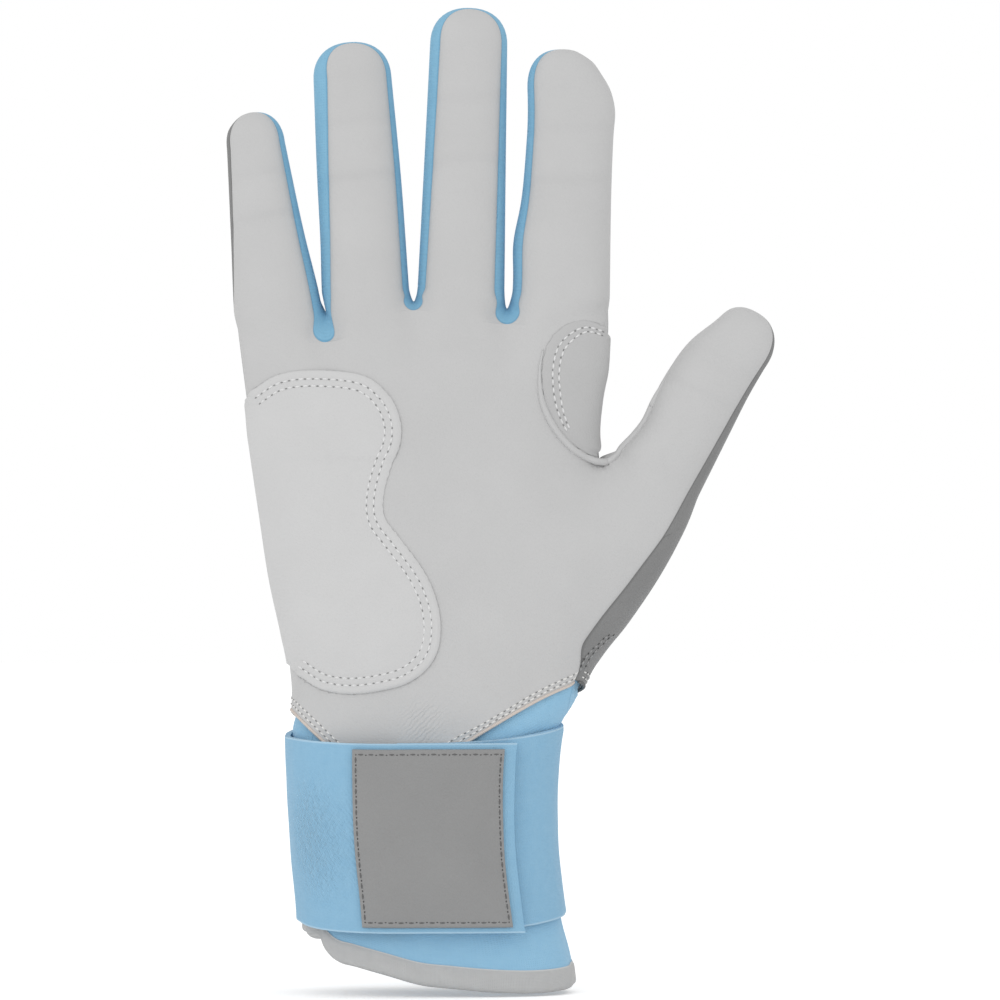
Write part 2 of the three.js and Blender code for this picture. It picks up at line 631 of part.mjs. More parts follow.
// Patches sewn onto the palm leather: each spans from its curved edge to a line near the panel's own edge.
function addPatch(name, curvedEdge, sideShare, rightEdge) {
  const sideTop = curvedEdge[0][1] - patchSideInset;
  const sideFoot = curvedEdge.at(-1)[1] + patchSideInset;
  const sideAngle = angleOf(sideShare, handFullness);
  const rows = curvedEdge.map(([x, z], i) => {
    const sideZ = lerp(sideTop, sideFoot, i / (curvedEdge.length - 1));
    const edgeAngle = angleAt(x, z, rightEdge);
    return steps(patchColumns).map((v) =>
      handPoint(lerp(sideAngle, edgeAngle, v), lerp(sideZ, z, v), rightEdge),
    );
  });
  const sheet = orient(grid(rows), handCore);
  addPiece(name, sheetSolid(sheet, patchGap, patchGap + patchThick), palmLeather);
}
addPatch("heel_patch", heelEdge, heelSideShare, radialEdge);
addPatch("crotch_patch", crotchEdge, crotchSideShare, forefingerEdge);

// The strap: a band fixed round the wrist, with loop tape on its front, and a tab that closes over it.
function strapMiddleAt(angle) {
  const { hinge, front, thumbSide, back: rear } = strapMiddle;
  const mean = (hinge + front + thumbSide + rear) / 4;
  const twice = (hinge + thumbSide - front - rear) / 4;
  const wave = ((thumbSide - hinge) * Math.cos(angle) + (front - rear) * Math.sin(angle)) / 2;
  return mean + wave + twice * Math.cos(2 * angle);
}
function strapSheet(angles, height, offsetAt) {
  const rows = angles.map((angle) => steps(strapRows, height / 2, -height / 2).map((dz) =>
    wristPoint(angle, strapMiddleAt(angle) + dz, offsetAt(angle)),
  ));
  return orient(grid(rows), cuffCore);
}
const frontAngle = (x, offset) => {
  const z = strapMiddle.front;
  const [left, right] = [ulnarEdge(z) - offset, radialEdge(z) + offset];
  return angleOf((2 * x - left - right) / (right - left), handFullness);
};
const loopOffset = strapGap + strapThick + layerGap;
const hookOffset = loopOffset + loopThick + layerGap;
const tabOffset = hookOffset + hookThick + layerGap;
const badgeOffset = tabOffset + strapThick + layerGap;
const addLayer = (name, sheet, thick, finish) => addPiece(name, sheetSolid(sheet, 0, thick), finish);

const bandAngles = steps(bandColumns, Math.PI, 2 * Math.PI + frontAngle(bandEnd, strapGap));
addLayer("strap_band", strapSheet(bandAngles, strapHeight, () => strapGap), strapThick, neoprene);
const tapeHeight = strapHeight - 2 * tapeMargin;
const tapeAngles = (start, end, offset, columns = tapeColumns) =>
  steps(columns, frontAngle(start, offset), frontAngle(end, offset));
const loopStart = bandEnd + tapeInset;
const loopAngles = tapeAngles(loopStart, loopStart + loopWidth, loopOffset);
addLayer("strap_loop_tape", strapSheet(loopAngles, tapeHeight, () => loopOffset), loopThick, hookTape);
const hookEnd = tabEnd - tapeInset;
const hookAngles = tapeAngles(hookEnd - hookWidth, hookEnd, hookOffset);
addLayer("strap_hook_tape", strapSheet(hookAngles, tapeHeight, () => hookOffset), hookThick, hookTape);

// The tab lies on the cuff at its hinge and climbs over the band and the tapes.
const riseEnd = frontAngle(tabRiseEnd, tabOffset);
const tabOffsetAt = (angle) => lerp(strapGap, tabOffset, smoothstep(Math.PI - angle, 0, Math.PI - riseEnd));
const tabAngles = steps(tabColumns, Math.PI, frontAngle(tabEnd, tabOffset));
addLayer("strap_tab", strapSheet(tabAngles, strapHeight, tabOffsetAt), strapThick, neoprene);
const badgeEnd = tabEnd - badgeInset;
const badgeAngles = tapeAngles(badgeEnd - badgeWidth, badgeEnd, badgeOffset, badgeColumns);
const badgeOffsetAt = (angle) => tabOffsetAt(angle) + strapThick + layerGap;
addLayer("strap_badge", strapSheet(badgeAngles, badgeHeight, badgeOffsetAt), badgeThick, badgeLeather);

export default glove;
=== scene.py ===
import math
from bisect import bisect_right
from functools import lru_cache

import bmesh
import bpy
from mathutils import Matrix, Vector, noise
from mathutils.kdtree import KDTree


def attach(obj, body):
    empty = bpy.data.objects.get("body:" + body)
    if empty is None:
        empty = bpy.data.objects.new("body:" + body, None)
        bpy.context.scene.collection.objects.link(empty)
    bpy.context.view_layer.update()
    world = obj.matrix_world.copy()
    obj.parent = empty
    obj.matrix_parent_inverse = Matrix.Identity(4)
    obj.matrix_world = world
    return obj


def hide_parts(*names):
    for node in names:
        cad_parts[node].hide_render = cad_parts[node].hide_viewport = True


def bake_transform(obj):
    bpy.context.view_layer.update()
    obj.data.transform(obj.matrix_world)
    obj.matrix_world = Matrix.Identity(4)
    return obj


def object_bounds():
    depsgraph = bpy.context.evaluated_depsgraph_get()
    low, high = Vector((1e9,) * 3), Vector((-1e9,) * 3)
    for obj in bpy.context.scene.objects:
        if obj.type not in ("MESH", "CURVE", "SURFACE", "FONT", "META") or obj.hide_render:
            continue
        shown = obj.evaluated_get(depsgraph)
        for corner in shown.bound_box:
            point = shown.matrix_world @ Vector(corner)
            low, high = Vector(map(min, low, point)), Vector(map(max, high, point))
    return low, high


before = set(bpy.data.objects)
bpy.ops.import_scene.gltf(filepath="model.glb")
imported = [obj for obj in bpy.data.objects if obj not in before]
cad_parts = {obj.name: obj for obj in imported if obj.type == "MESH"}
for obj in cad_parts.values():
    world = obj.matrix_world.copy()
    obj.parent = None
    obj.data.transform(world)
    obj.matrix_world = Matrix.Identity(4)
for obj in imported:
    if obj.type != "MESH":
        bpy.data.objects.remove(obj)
cad_low, cad_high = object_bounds()

# The stage: a white floor and white surroundings under plain soft light, and a camera square on to the
# palm from far off, so that the glove shows almost without perspective.
MM = 0.001
MM_PER_PIXEL = 0.267
FRAME_PIXELS = 1000
VIEW_CENTRE = (18.69, 123.15)
CAMERA_AWAY = 2000
SENSOR = 36
AMBIENT = 0.84
SUN_STRENGTH = 0.52
SUN_ANGLE = math.radians(50)
SUN_TOWARDS = Vector((0.4, 1.0, -0.3))
FLOOR_SIZE = 4
FLOOR_GLOW = 0.3
WHITE = (1, 1, 1, 1)


def add_node(tree, kind, inputs, **settings):
    made = tree.nodes.new("ShaderNode" + kind)
    for setting, value in settings.items():
        setattr(made, setting, value)
    for socket, value in inputs.items():
        if isinstance(value, bpy.types.NodeSocket):
            tree.links.new(value, made.inputs[socket])
        else:
            made.inputs[socket].default_value = value
    return made


def seen_directly(tree):
    path = add_node(tree, "LightPath", {}).outputs
    shiny = add_node(
        tree, "Math", {0: path["Is Glossy Ray"], 1: path["Is Transmission Ray"]}, operation="MAXIMUM"
    )
    return add_node(
        tree, "Math", {0: path["Is Camera Ray"], 1: shiny.outputs[0]}, operation="MAXIMUM"
    ).outputs[0]


scene = bpy.context.scene
scene.view_settings.view_transform = "Standard"
camera = bpy.data.objects.new("camera", bpy.data.cameras.new("camera"))
camera.data.sensor_width = SENSOR
camera.data.lens = SENSOR * CAMERA_AWAY / (MM_PER_PIXEL * FRAME_PIXELS)
camera.location = Vector((VIEW_CENTRE[0], -CAMERA_AWAY, VIEW_CENTRE[1])) * MM
camera.rotation_euler = (math.pi / 2, 0, 0)
scene.collection.objects.link(camera)
scene.camera = camera

world = bpy.data.worlds.new("white surroundings")
world.use_nodes = True
tree = world.node_tree
tree.nodes.clear()
light_of_room = add_node(tree, "Background", {"Strength": AMBIENT})
white_of_room = add_node(tree, "Background", {"Strength": 1.0})
for background in (light_of_room, white_of_room):
    background.inputs["Color"].default_value = WHITE
chosen = add_node(
    tree, "MixShader", {0: seen_directly(tree), 1: light_of_room.outputs[0], 2: white_of_room.outputs[0]}
)
add_node(tree, "OutputWorld", {"Surface": chosen.outputs[0]})
scene.world = world

sun = bpy.data.objects.new("window light", bpy.data.lights.new("window light", "SUN"))
sun.data.energy = SUN_STRENGTH
sun.data.angle = SUN_ANGLE
sun.rotation_euler = SUN_TOWARDS.to_track_quat("-Z", "Y").to_euler()
scene.collection.objects.link(sun)

plane = bmesh.new()
bmesh.ops.create_grid(plane, x_segments=2, y_segments=2, size=FLOOR_SIZE)
bmesh.ops.translate(plane, verts=plane.verts, vec=(0, 0, cad_low.z))
floor = bpy.data.objects.new("floor", bpy.data.meshes.new("floor"))
plane.to_mesh(floor.data)
plane.free()
floor_white = bpy.data.materials.new("floor white")
floor_white.use_nodes = True
tree = floor_white.node_tree
tree.nodes.clear()
matt = add_node(tree, "BsdfDiffuse", {"Color": WHITE})
glow = add_node(tree, "Emission", {"Color": WHITE, "Strength": FLOOR_GLOW})
dark = add_node(tree, "Emission", {"Strength": 0.0})
shown = add_node(tree, "MixShader", {0: seen_directly(tree), 1: dark.outputs[0], 2: glow.outputs[0]})
both = add_node(tree, "AddShader", {0: matt.outputs[0], 1: shown.outputs[0]})
add_node(tree, "OutputMaterial", {"Surface": both.outputs[0]})
floor.data.materials.append(floor_white)
scene.collection.objects.link(floor)

# The palm leather: one thin, soft piece of pale grey sheepskin for the palm and the fronts of all five
# fingers, cut to the hand's form and turned in at its edges, where it is sewn to the side walls.
# Each finger's front is laid as a root, across the base crease, and an end, across the knuckle.
LEATHER = 1.0
FINGER_FULLNESS = 2.4
TIP_FULLNESS = 2.3
HAND_FULLNESS = 2.6
BACK_SEAM = 0.86
APEX_SEAM = 0.96
SEAM_TUCK = 0.5
SEAM_REACH = 1.3
KNUCKLE_CREASE = 0.85
BACK_CREASE = 0.3
CREASE_WIDTH = 1.7
CREASE_BOW = 0.06
CREASE_FADE = 4
SECOND_CREASE_BELOW = 2.6
SECOND_CREASE_SHARE = 0.5
END_CREASE_AT = 0.66
END_CREASE_SHARE = 0.7
TIP_RUN = 1.5
WALL_SINK = 0.4
WALL_REACH = 2
LEAST_KEPT = 0.5
NEGLIGIBLE = 0.01
BEND_START = -1.5
BEND_END = 10
KNUCKLE_REACH = 5.5


def mix(a, b, t):
    return a + (b - a) * t


def clamp(value, low=0.0, high=1.0):
    return min(max(value, low), high)


def ease(t):
    t = clamp(t)
    return t * t * (3 - 2 * t)


def bell(t):
    return math.exp(-(t ** 2))


def rounded(t):
    """A quarter circle from 0 up to 1."""
    return math.sqrt(1 - (1 - clamp(t)) ** 2)


def profile(stations):
    """A smooth curve through (position, value) stations, as a function of the position."""
    at, value = zip(*stations)
    last = len(at) - 1
    slope = []
    for i in range(last + 1):
        before, after = max(i - 1, 0), min(i + 1, last)
        slope.append((value[after] - value[before]) / (at[after] - at[before]))

    def curve(position):
        p = clamp(position, at[0], at[last])
        i = min(bisect_right(at, p), last) - 1
        span = at[i + 1] - at[i]
        t = (p - at[i]) / span
        ends = (1 + 2 * t) * (1 - t) ** 2 * value[i] + t * t * (3 - 2 * t) * value[i + 1]
        return ends + span * (t * (1 - t) ** 2 * slope[i] + t * t * (t - 1) * slope[i + 1])

    return curve


def power(value, fullness):
    return math.copysign(abs(value) ** (2 / fullness), value)


def across(angle, fullness):
    return power(math.cos(angle), fullness)


def outward(angle, fullness):
    return power(math.sin(angle), fullness)


def angle_of(share, fullness):
    return math.acos(clamp(power(share, 4 / fullness), -1, 1))


def tuck(distance):
    """How far a sheet is drawn in at a distance from its sewn edge."""
    return SEAM_TUCK * (1 - ease(distance / SEAM_REACH))


def from_ends(row, v):
    """How far a point of a row lies from the nearer end of the row."""
    here = row(v)
    return min((here - row(0)).length, (here - row(1)).length)


class Finger:
    """A finger's form: q runs along it from its base crease, p across it and y from palm to back.

    sizes are its length, the knuckle's place and the roundness of its tip; half widths and depths are given
    at the crease, the knuckle and the tip. Each side has its seam's share of the half width at the base and
    the tip, and whether a wall is sewn in there. Each dip is (side, place, depth, reach)."""

    def __init__(self, name, crease, tilt, sizes, half, depth, left, right, curl=4, shift=0, dips=()):
        self.name = name
        self.crease = Vector((crease[0], 0, crease[1]))
        self.lean = math.radians(tilt)
        self.direction = Vector((math.sin(self.lean), 0, math.cos(self.lean)))
        self.length, self.knuckle, self.tip_round = sizes
        self.tip_start = self.length - self.tip_round
        self.end = self.tip_start + TIP_RUN * self.tip_round
        self.split = (BEND_END + self.knuckle - KNUCKLE_REACH) / 2
        self.curl, self.shift, self.dips = curl, shift, dips
        stations = (0, self.knuckle, self.tip_start)
        self.half = profile(list(zip(stations, half)))
        self.depth = profile(list(zip(stations, depth)))
        self.base_half = half[0]
        self.seam = {"left": left, "right": right}
        self.walls = [side for side in ("left", "right") if self.seam[side][2]]

    def place(self, p, y, q):
        near_tip = clamp((q - self.tip_start) / (2 * self.tip_round) + 0.5)
        side = p + self.shift * near_tip ** 2
        for hand, at, depth, reach in self.dips:
            if p * hand > 0:
                side -= hand * depth * bell((q - at) / reach) * (p / self.half(q)) ** 2
        forward = self.curl * (q / self.length) ** 2
        sideways = Vector((math.cos(self.lean), 0, -math.sin(self.lean)))
        return self.crease + sideways * side + self.direction * q - Vector((0, forward - y, 0))

    def height(self, p, q, front):
        over = clamp((q - self.tip_start) / self.tip_round)
        round_off = (1 - over ** TIP_FULLNESS) ** (1 / TIP_FULLNESS)
        if round_off == 0:
            return 0
        share = clamp(abs(p) / (self.half(q) * round_off))
        full = self.depth(q) * round_off * (1 - share ** FINGER_FULLNESS) ** (1 / FINGER_FULLNESS)
        bow = CREASE_BOW * p * (1 if front else -1)
        creases = (
            (self.knuckle, 1),
            (self.knuckle - SECOND_CREASE_BELOW, SECOND_CREASE_SHARE),
            (self.length * END_CREASE_AT, END_CREASE_SHARE),
        )
        folds = sum(deep * bell((q - at - bow) / CREASE_WIDTH) for at, deep in creases)
        deepest = KNUCKLE_CREASE if front else BACK_CREASE
        return full - deepest * folds * ease(full / CREASE_FADE)

    def row(self, s):
        """A row round the finger: its q, half width, rise at the sides and share of the way round the tip."""
        turn = clamp((s - self.tip_start) / (self.end - self.tip_start))
        q = min(s, self.tip_start)
        angle = turn * math.pi / 2
        wide = self.half(q) * across(angle, TIP_FULLNESS)
        return q, wide, self.tip_round * outward(angle, TIP_FULLNESS), turn

    def edge_share(self, side, q, turn, front):
        base, tip, wall = self.seam[side]
        body = mix(base, tip, q / self.tip_start) if front or not wall else BACK_SEAM
        apex = APEX_SEAM if len(self.walls) == 2 else 1
        return mix(body, apex, ease(turn))

    def sunk(self, p, y, q, by):
        radius = math.hypot(p, y)
        keep = max(1 - by / radius, LEAST_KEPT) if radius > NEGLIGIBLE else 1
        return self.place(p * keep, y * keep, q)

    def panel_point(self, s, front, v):
        """A point of the front or back leather, from its left seam at v 0 to its right one at v 1."""
        q0, wide, rise, turn = self.row(s)
        shares = [self.edge_share(side, q0, turn, front) for side in ("left", "right")]
        turns = [angle_of(share, FINGER_FULLNESS) for share in shares]
        if not front:
            turns = [-t if side in self.walls else t for t, side in zip(turns, ("left", "right"))]
        end = turns[1] if front else 2 * math.pi + turns[1]

        def raw(u):
            angle = mix(math.pi - turns[0], end, u)
            p = wide * across(angle, FINGER_FULLNESS)
            q = q0 + rise * mix(shares[0], shares[1], u)
            facing = math.copysign(1, math.sin(angle))
            return Vector((p, -facing * self.height(p, q, facing > 0), q))

        return self.sunk(*raw(v), tuck(from_ends(raw, v)))

    def wall_point(self, s, side, v):
        """A point of the stretch side wall, from the front leather's edge to the back leather's."""
        hand = -1 if side == "left" else 1
        q0, wide, rise, turn = self.row(s)
        front = angle_of(self.edge_share(side, q0, turn, True), FINGER_FULLNESS)
        back = -angle_of(self.edge_share(side, q0, turn, False), FINGER_FULLNESS)

        def raw(u):
            angle = mix(front, back, u)
            share = across(angle, FINGER_FULLNESS)
            p, q = hand * wide * share, q0 + rise * share
            return Vector((p, -math.copysign(1, angle) * self.height(p, q, angle > 0), q))

        near_seam = 1 - ease(from_ends(raw, v) / WALL_REACH)
        return self.sunk(*raw(v), mix(WALL_SINK, 1, near_seam) * SEAM_TUCK)


little = Finger(
    "little", crease=(-41, 175), tilt=-7.1, sizes=(51.9, 23, 9), half=(11.5, 9.5, 7.9), depth=(8.6, 7.8, 6.6),
    left=(1, 0.92, False), right=(0.84, 0.86, True), curl=3, dips=((1, 2, -0.6, 12),),
)
ring = Finger(
    "ring", crease=(-17, 179.2), tilt=-3.7, sizes=(66.1, 29, 10), half=(11.6, 11.4, 10.6),
    depth=(9.2, 8.6, 7.2), left=(0.82, 0.66, True), right=(0.88, 0.9, True), dips=((-1, 0, -0.5, 10),),
)
middle = Finger(
    "middle", crease=(8.3, 179.6), tilt=1.8, sizes=(74.7, 33, 10), half=(11.8, 11.1, 10.5),
    depth=(9.6, 8.9, 7.4), left=(0.84, 0.76, True), right=(0.79, 0.88, True),
)
index = Finger(
    "index", crease=(35, 178.2), tilt=3.2, sizes=(65, 29, 12), half=(13.1, 11.9, 11.5), depth=(9.6, 8.9, 7.4),
    left=(0.84, 0.87, True), right=(1, 1, False), shift=-2.6,
    dips=((1, 61, 2.2, 5), (1, 49, -0.5, 4), (1, 66, 9, 2.4), (-1, 13, -1.2, 8)),
)
thumb = Finger(
    "thumb", crease=(61.2, 131.5), tilt=30, sizes=(49.1, 22, 12), half=(12.7, 11.3, 10.5),
    depth=(10.6, 9.6, 7.8), left=(1, 1, False), right=(0.79, 0.94, False), curl=3, shift=1.8,
    dips=((-1, 8, 2.0, 8), (-1, 43, 2.6, 7)),
)
fingers = [little, ring, middle, index]
FINGERS = len(fingers)
STEMS = FINGERS + 1

CROTCH = Vector((45.7, 0, 134.2))
CROTCH_ROW_LEFT = 131.5
CROTCH_ROW_THUMB = 113
STEM_FOOT = (24, 70)
EDGE_ROUND = 46
NOTCH_DEPTH = 2
NOTCH_HALF = (2.8, 2.5, 3.2)
NOTCH_PULL = 6
NOTCH_NARROW = 3
NOTCH_FADE = 4
NOTCH_SKIN = 1
NOTCH_FOOT = (165.1, 173.6, 169.9)
WEB_RISE = (8.4, 2.6, 4.4)
STEM_END = (163.5, 168)
STEM_BEND = 0.6
STEM_LEAVE = 0.12
THUMB_LEAVE = 0.1
THUMB_SPREAD = 1.37
THUMB_FLAT = 0.15

ulnar_edge = profile([
    (-14, -34.4), (11, -33.6), (30, -35.2), (46, -36.1), (60, -36.6), (72, -36.8), (86, -38.5), (102, -42),
    (118, -44.5), (134, -47), (150, -49.4),
    tuple(little.place(-little.base_half, 0, 0))[::-2],
])
radial_edge = profile([
    (-14, 38.4), (0, 37.3), (11, 34.6), (30, 32.3), (46, 32), (60, 33.2), (64, 35.2), (68, 37.7), (73, 40.5),
    (82, 46.4), (90, 52.8), (102, 60.9), (114, 67.5),
    tuple(thumb.place(thumb.base_half, 0, 0))[::-2],
])
forefinger_edge = profile([
    (CROTCH.z, CROTCH.x), (142, 45), (150, 45.6), (158, 47.2), (166, 48),
    tuple(index.place(index.base_half, 0, 0))[::-2],
])
palm_depth = profile([
    (-14, 22.5), (40, 21.5), (66, 21.5), (90, 20), (110, 18.2), (135, 15.6), (160, 12.6), (180, 10),
])
back_depth = profile([
    (-14, 22.5), (40, 21.5), (66, 20.5), (90, 18), (110, 16.4), (135, 14.6), (160, 12.8), (180, 10.4),
])
radial_seam = profile([(70, 0.93), (78, 0.915), (86, 0.82), (102, 0.865), (116, 0.925), (126, 0.945)])


def notch_line(k):
    """The line that the gap between two fingers follows: its x at the notch's foot and at the creases."""
    a, b = fingers[k], fingers[k + 1]
    top = (a.place(a.base_half, 0, 0) + b.place(-b.base_half, 0, 0)) / 2
    return top.x - math.tan((a.lean + b.lean) / 2) * (top.z - NOTCH_FOOT[k]), top.x


notch_lines = [notch_line(k) for k in range(FINGERS - 1)]


def rim_share(distance, reach):
    share = clamp(1 - distance / reach)
    return (1 - share ** HAND_FULLNESS) ** (1 / HAND_FULLNESS)


def skin_depth(x, z, front):
    """The hand's depth at a place seen from the palm: full inside, and nothing at its edges."""
    left, above = ulnar_edge(z), z > CROTCH.z
    right = forefinger_edge(z) if above else radial_edge(z)
    reach = min(EDGE_ROUND, (right - left) / 2)
    from_crotch = EDGE_ROUND if above else math.hypot(x - CROTCH.x, z - CROTCH.z)
    rims = rim_share(x - left, reach) * rim_share(right - x, reach) * rim_share(from_crotch, EDGE_ROUND)
    return (palm_depth(z) if front else back_depth(z)) * rims


def hand_point(angle, z, right_edge):
    x = mix(ulnar_edge(z), right_edge(z), (1 + across(angle, HAND_FULLNESS)) / 2)
    front = math.sin(angle) > 0
    return Vector((x, (-1 if front else 1) * skin_depth(x, z, front), z))


def angle_at(x, z, right_edge):
    left, right = ulnar_edge(z), right_edge(z)
    return angle_of((2 * x - left - right) / (right - left), HAND_FULLNESS)


def drawn_in(point, by):
    """A point of the hand's skin moved towards the middle of its section."""
    right = forefinger_edge(point.z) if point.z > CROTCH.z else radial_edge(point.z)
    middle_x = (ulnar_edge(point.z) + right) / 2
    out = Vector((point.x - middle_x, point.y, 0))
    return point - out.normalized() * by


@lru_cache(maxsize=None)
def upper_raw(front, w, t):
    """The palm or back from the line where the finger stems merge (t 0) to the level of the crotch (t 1)."""
    g = min(int(w), FINGERS - 1)
    v = w - g
    feet_z = (STEM_END[0], *NOTCH_FOOT, STEM_END[1])
    feet_x = (ulnar_edge(STEM_END[0]), *(foot for foot, _ in notch_lines), forefinger_edge(STEM_END[1]))
    z = mix(feet_z[g], feet_z[g + 1], ease(v))
    x = mix(feet_x[g], feet_x[g + 1], v)
    angle = math.pi if w == 0 else 0 if w == FINGERS else angle_at(x, z, forefinger_edge)
    low = mix(CROTCH_ROW_LEFT, CROTCH.z, w / FINGERS)
    point = hand_point(angle if front else 2 * math.pi - angle, mix(z, low, t), forefinger_edge)
    outer = (v < 0.5 and g == 0) or (v > 0.5 and g == FINGERS - 1)
    valley = ((1 + math.cos(2 * math.pi * v)) / 2) ** NOTCH_NARROW
    dip = 0 if outer else NOTCH_DEPTH * valley * (1 - t) ** NOTCH_FADE
    if dip > NEGLIGIBLE:
        point.y = min(point.y + dip, -NOTCH_SKIN) if front else max(point.y - dip, NOTCH_SKIN)
    return point


def upper_point(front, w, t):
    here = upper_raw(front, w, t).copy()
    from_seam = min((here - upper_raw(front, end, t)).length for end in (0, FINGERS))
    return drawn_in(here, tuck(from_seam))


HEM_LEFT = (-37, 67.8, 0.945)
HEM_RIGHT = (29.9, 72.2, 0.637)
HEM_LEVEL = (38.6, 75.3, 0.3)
HEM_TRIES = 5
HEM_ROUND = 6
HEM_EASE = 0.06
BACK_HEM_SAG = 9
HEM_LIFT = 0.45
HEM_LIFT_REACH = 7
HEM_LIFT_SEAM = 4


@lru_cache(maxsize=None)
def hem_at(front, w):
    """The hem's (angle, height) at w, which counts the four finger stems and then the thumb's."""
    seam = angle_of(radial_seam(HEM_LEVEL[1]), HAND_FULLNESS)
    stem = angle_at(*STEM_FOOT, radial_edge)
    if not front:
        seam, stem = 2 * math.pi + seam, 2 * math.pi - stem
    angle = mix(math.pi, stem, w / FINGERS) if w < FINGERS else mix(stem, seam, w - FINGERS)
    tongue = HEM_LEFT[1]
    for _ in range(HEM_TRIES):
        x = hand_point(angle, tongue, radial_edge).x
        left = HEM_LEFT[1] - HEM_LEFT[2] * (x - HEM_LEFT[0])
        right = HEM_RIGHT[1] + HEM_RIGHT[2] * (x - HEM_RIGHT[0])
        level = HEM_LEVEL[1] + HEM_LEVEL[2] * (x - HEM_LEVEL[0])
        right = (right + level - math.hypot(right - level, HEM_ROUND / 2)) / 2
        tongue = (left + right + math.hypot(left - right, HEM_ROUND)) / 2
    share = w / STEMS
    arc = mix(HEM_LEFT[1], HEM_LEVEL[1], share) - BACK_HEM_SAG * math.sin(math.pi * share)
    ends = ease(min(share, 1 - share) / HEM_EASE)
    return angle, mix(arc, tongue, ends) if front else arc


@lru_cache(maxsize=None)
def lower_raw(front, w, t):
    """The palm or back from the level of the crotch (t 0) to the hem (t 1), thumb stem included."""
    hem_angle, hem_z = hem_at(front, w)
    whole = 0 if front else 2 * math.pi

    def turned(x, z):
        angle = angle_at(x, z, radial_edge)
        return angle if front else whole - angle

    if w <= FINGERS:
        start = upper_raw(front, w, 1)
        angle = math.pi if w == 0 else turned(start.x, start.z)
        return hand_point(mix(angle, hem_angle, t), mix(start.z, hem_z, t), radial_edge)
    seam_z = mix(CROTCH_ROW_THUMB, hem_at(front, STEMS)[1], t)
    seam_angle = angle_of(radial_seam(seam_z), HAND_FULLNESS) + whole
    stem_angle = mix(turned(CROTCH.x, CROTCH.z), hem_at(front, FINGERS)[0], t)
    z = mix(mix(CROTCH.z, CROTCH_ROW_THUMB, w - FINGERS), hem_z, t)
    return hand_point(mix(stem_angle, seam_angle, w - FINGERS), z, radial_edge)


def lower_point(front, w, t):
    here = lower_raw(front, w, t).copy()
    seams = (lower_raw(front, 0, t), lower_raw(front, STEMS, t), upper_raw(front, FINGERS, 1))
    from_seam = min((here - seam).length for seam in seams)
    from_hem = (here - lower_raw(front, w, 1)).length
    lift = HEM_LIFT * (1 - ease(from_hem / HEM_LIFT_REACH)) * ease(from_seam / HEM_LIFT_SEAM)
    return drawn_in(here, tuck(from_seam) - lift)


def hermite(start, leave, end, arrive, s):
    body = start * ((1 + 2 * s) * (1 - s) ** 2) + end * (s * s * (3 - 2 * s))
    return body + leave * (s * (1 - s) ** 2) + arrive * (s * s * (s - 1))


@lru_cache(maxsize=None)
def stem_raw(front, g, v, s):
    finger = fingers[g]
    foot = upper_point(front, g + v, 0)
    top = finger.panel_point(0, front, v)
    reach = (top - foot).length
    leave = (foot - upper_point(front, g + v, STEM_LEAVE)).normalized() * reach
    return hermite(foot, leave, top, finger.direction * reach, s)


def stem_point(front, g, v, s):
    """A finger's stem, from the line where the stems merge (s 0) to the finger's crease (s 1)."""
    point = stem_raw(front, g, v, s).copy()
    for end, k, hand in ((0, g - 1, 1), (1, g, -1)):
        if 0 <= k < FINGERS - 1:
            bottom = NOTCH_HALF[k] / (stem_raw(front, g, end, 1).z - NOTCH_FOOT[k])
            half = NOTCH_HALF[k] * rounded(s / bottom)
            move = mix(*notch_lines[k], s) + hand * half - stem_raw(front, g, end, s).x
            point.x += move * (1 - ease((s - bottom) / (1 - bottom))) * (1 - abs(v - end)) ** NOTCH_PULL
    return point


def thumb_stem_point(front, v, s):
    """The thumb's stem, from the crotch's level (s 0) to the thumb's crease (s 1), nearly straight."""
    w = FINGERS + (v if front else v ** THUMB_SPREAD)
    foot = lower_point(front, w, 0)
    top = thumb.panel_point(0, front, v)
    chord = top - foot
    leave = (foot - lower_point(front, w, THUMB_LEAVE)).normalized() * chord.length
    leave.y *= ease(v / THUMB_FLAT)
    arrive = thumb.direction * chord.length
    return hermite(foot, mix(chord, leave, STEM_BEND), top, mix(chord, arrive, STEM_BEND), s)


SWELL = 0.32
SWELL_SIZE = (19, 24)
SWELL_LAYER = 3.1
RIPPLE = 0.06
RIPPLE_SIZE = (7, 9)
RIPPLE_LAYER = 9.7
SOFT_FROM = 6


def soften(point):
    """Soft skin: shallow hollows and swellings that die away towards the side seams."""
    side = 1 if point.y > 0 else -1

    def uneven(size, layer):
        return noise.noise(Vector((point.x / size[0], side * layer, point.z / size[1])))

    rise = SWELL * uneven(SWELL_SIZE, SWELL_LAYER) + RIPPLE * uneven(RIPPLE_SIZE, RIPPLE_LAYER)
    point.y += side * ease(abs(point.y) / SOFT_FROM) * rise
    return point


def paint(red, green, blue):
    """A colour as seen on the screen, from 0 to 255, as Blender's linear colour."""
    shares = (red / 255, green / 255, blue / 255)
    linear = [c / 12.92 if c <= 0.04045 else ((c + 0.055) / 1.055) ** 2.4 for c in shares]
    return (*linear, 1)


def grey(level):
    return paint(level, level, level)


def new_finish(name):
    material = bpy.data.materials.new(name)
    material.use_nodes = True
    tree = material.node_tree
    tree.nodes.clear()
    shader = add_node(tree, "BsdfPrincipled", {})
    add_node(tree, "OutputMaterial", {"Surface": shader.outputs[0]})
    return material, tree, shader.inputs


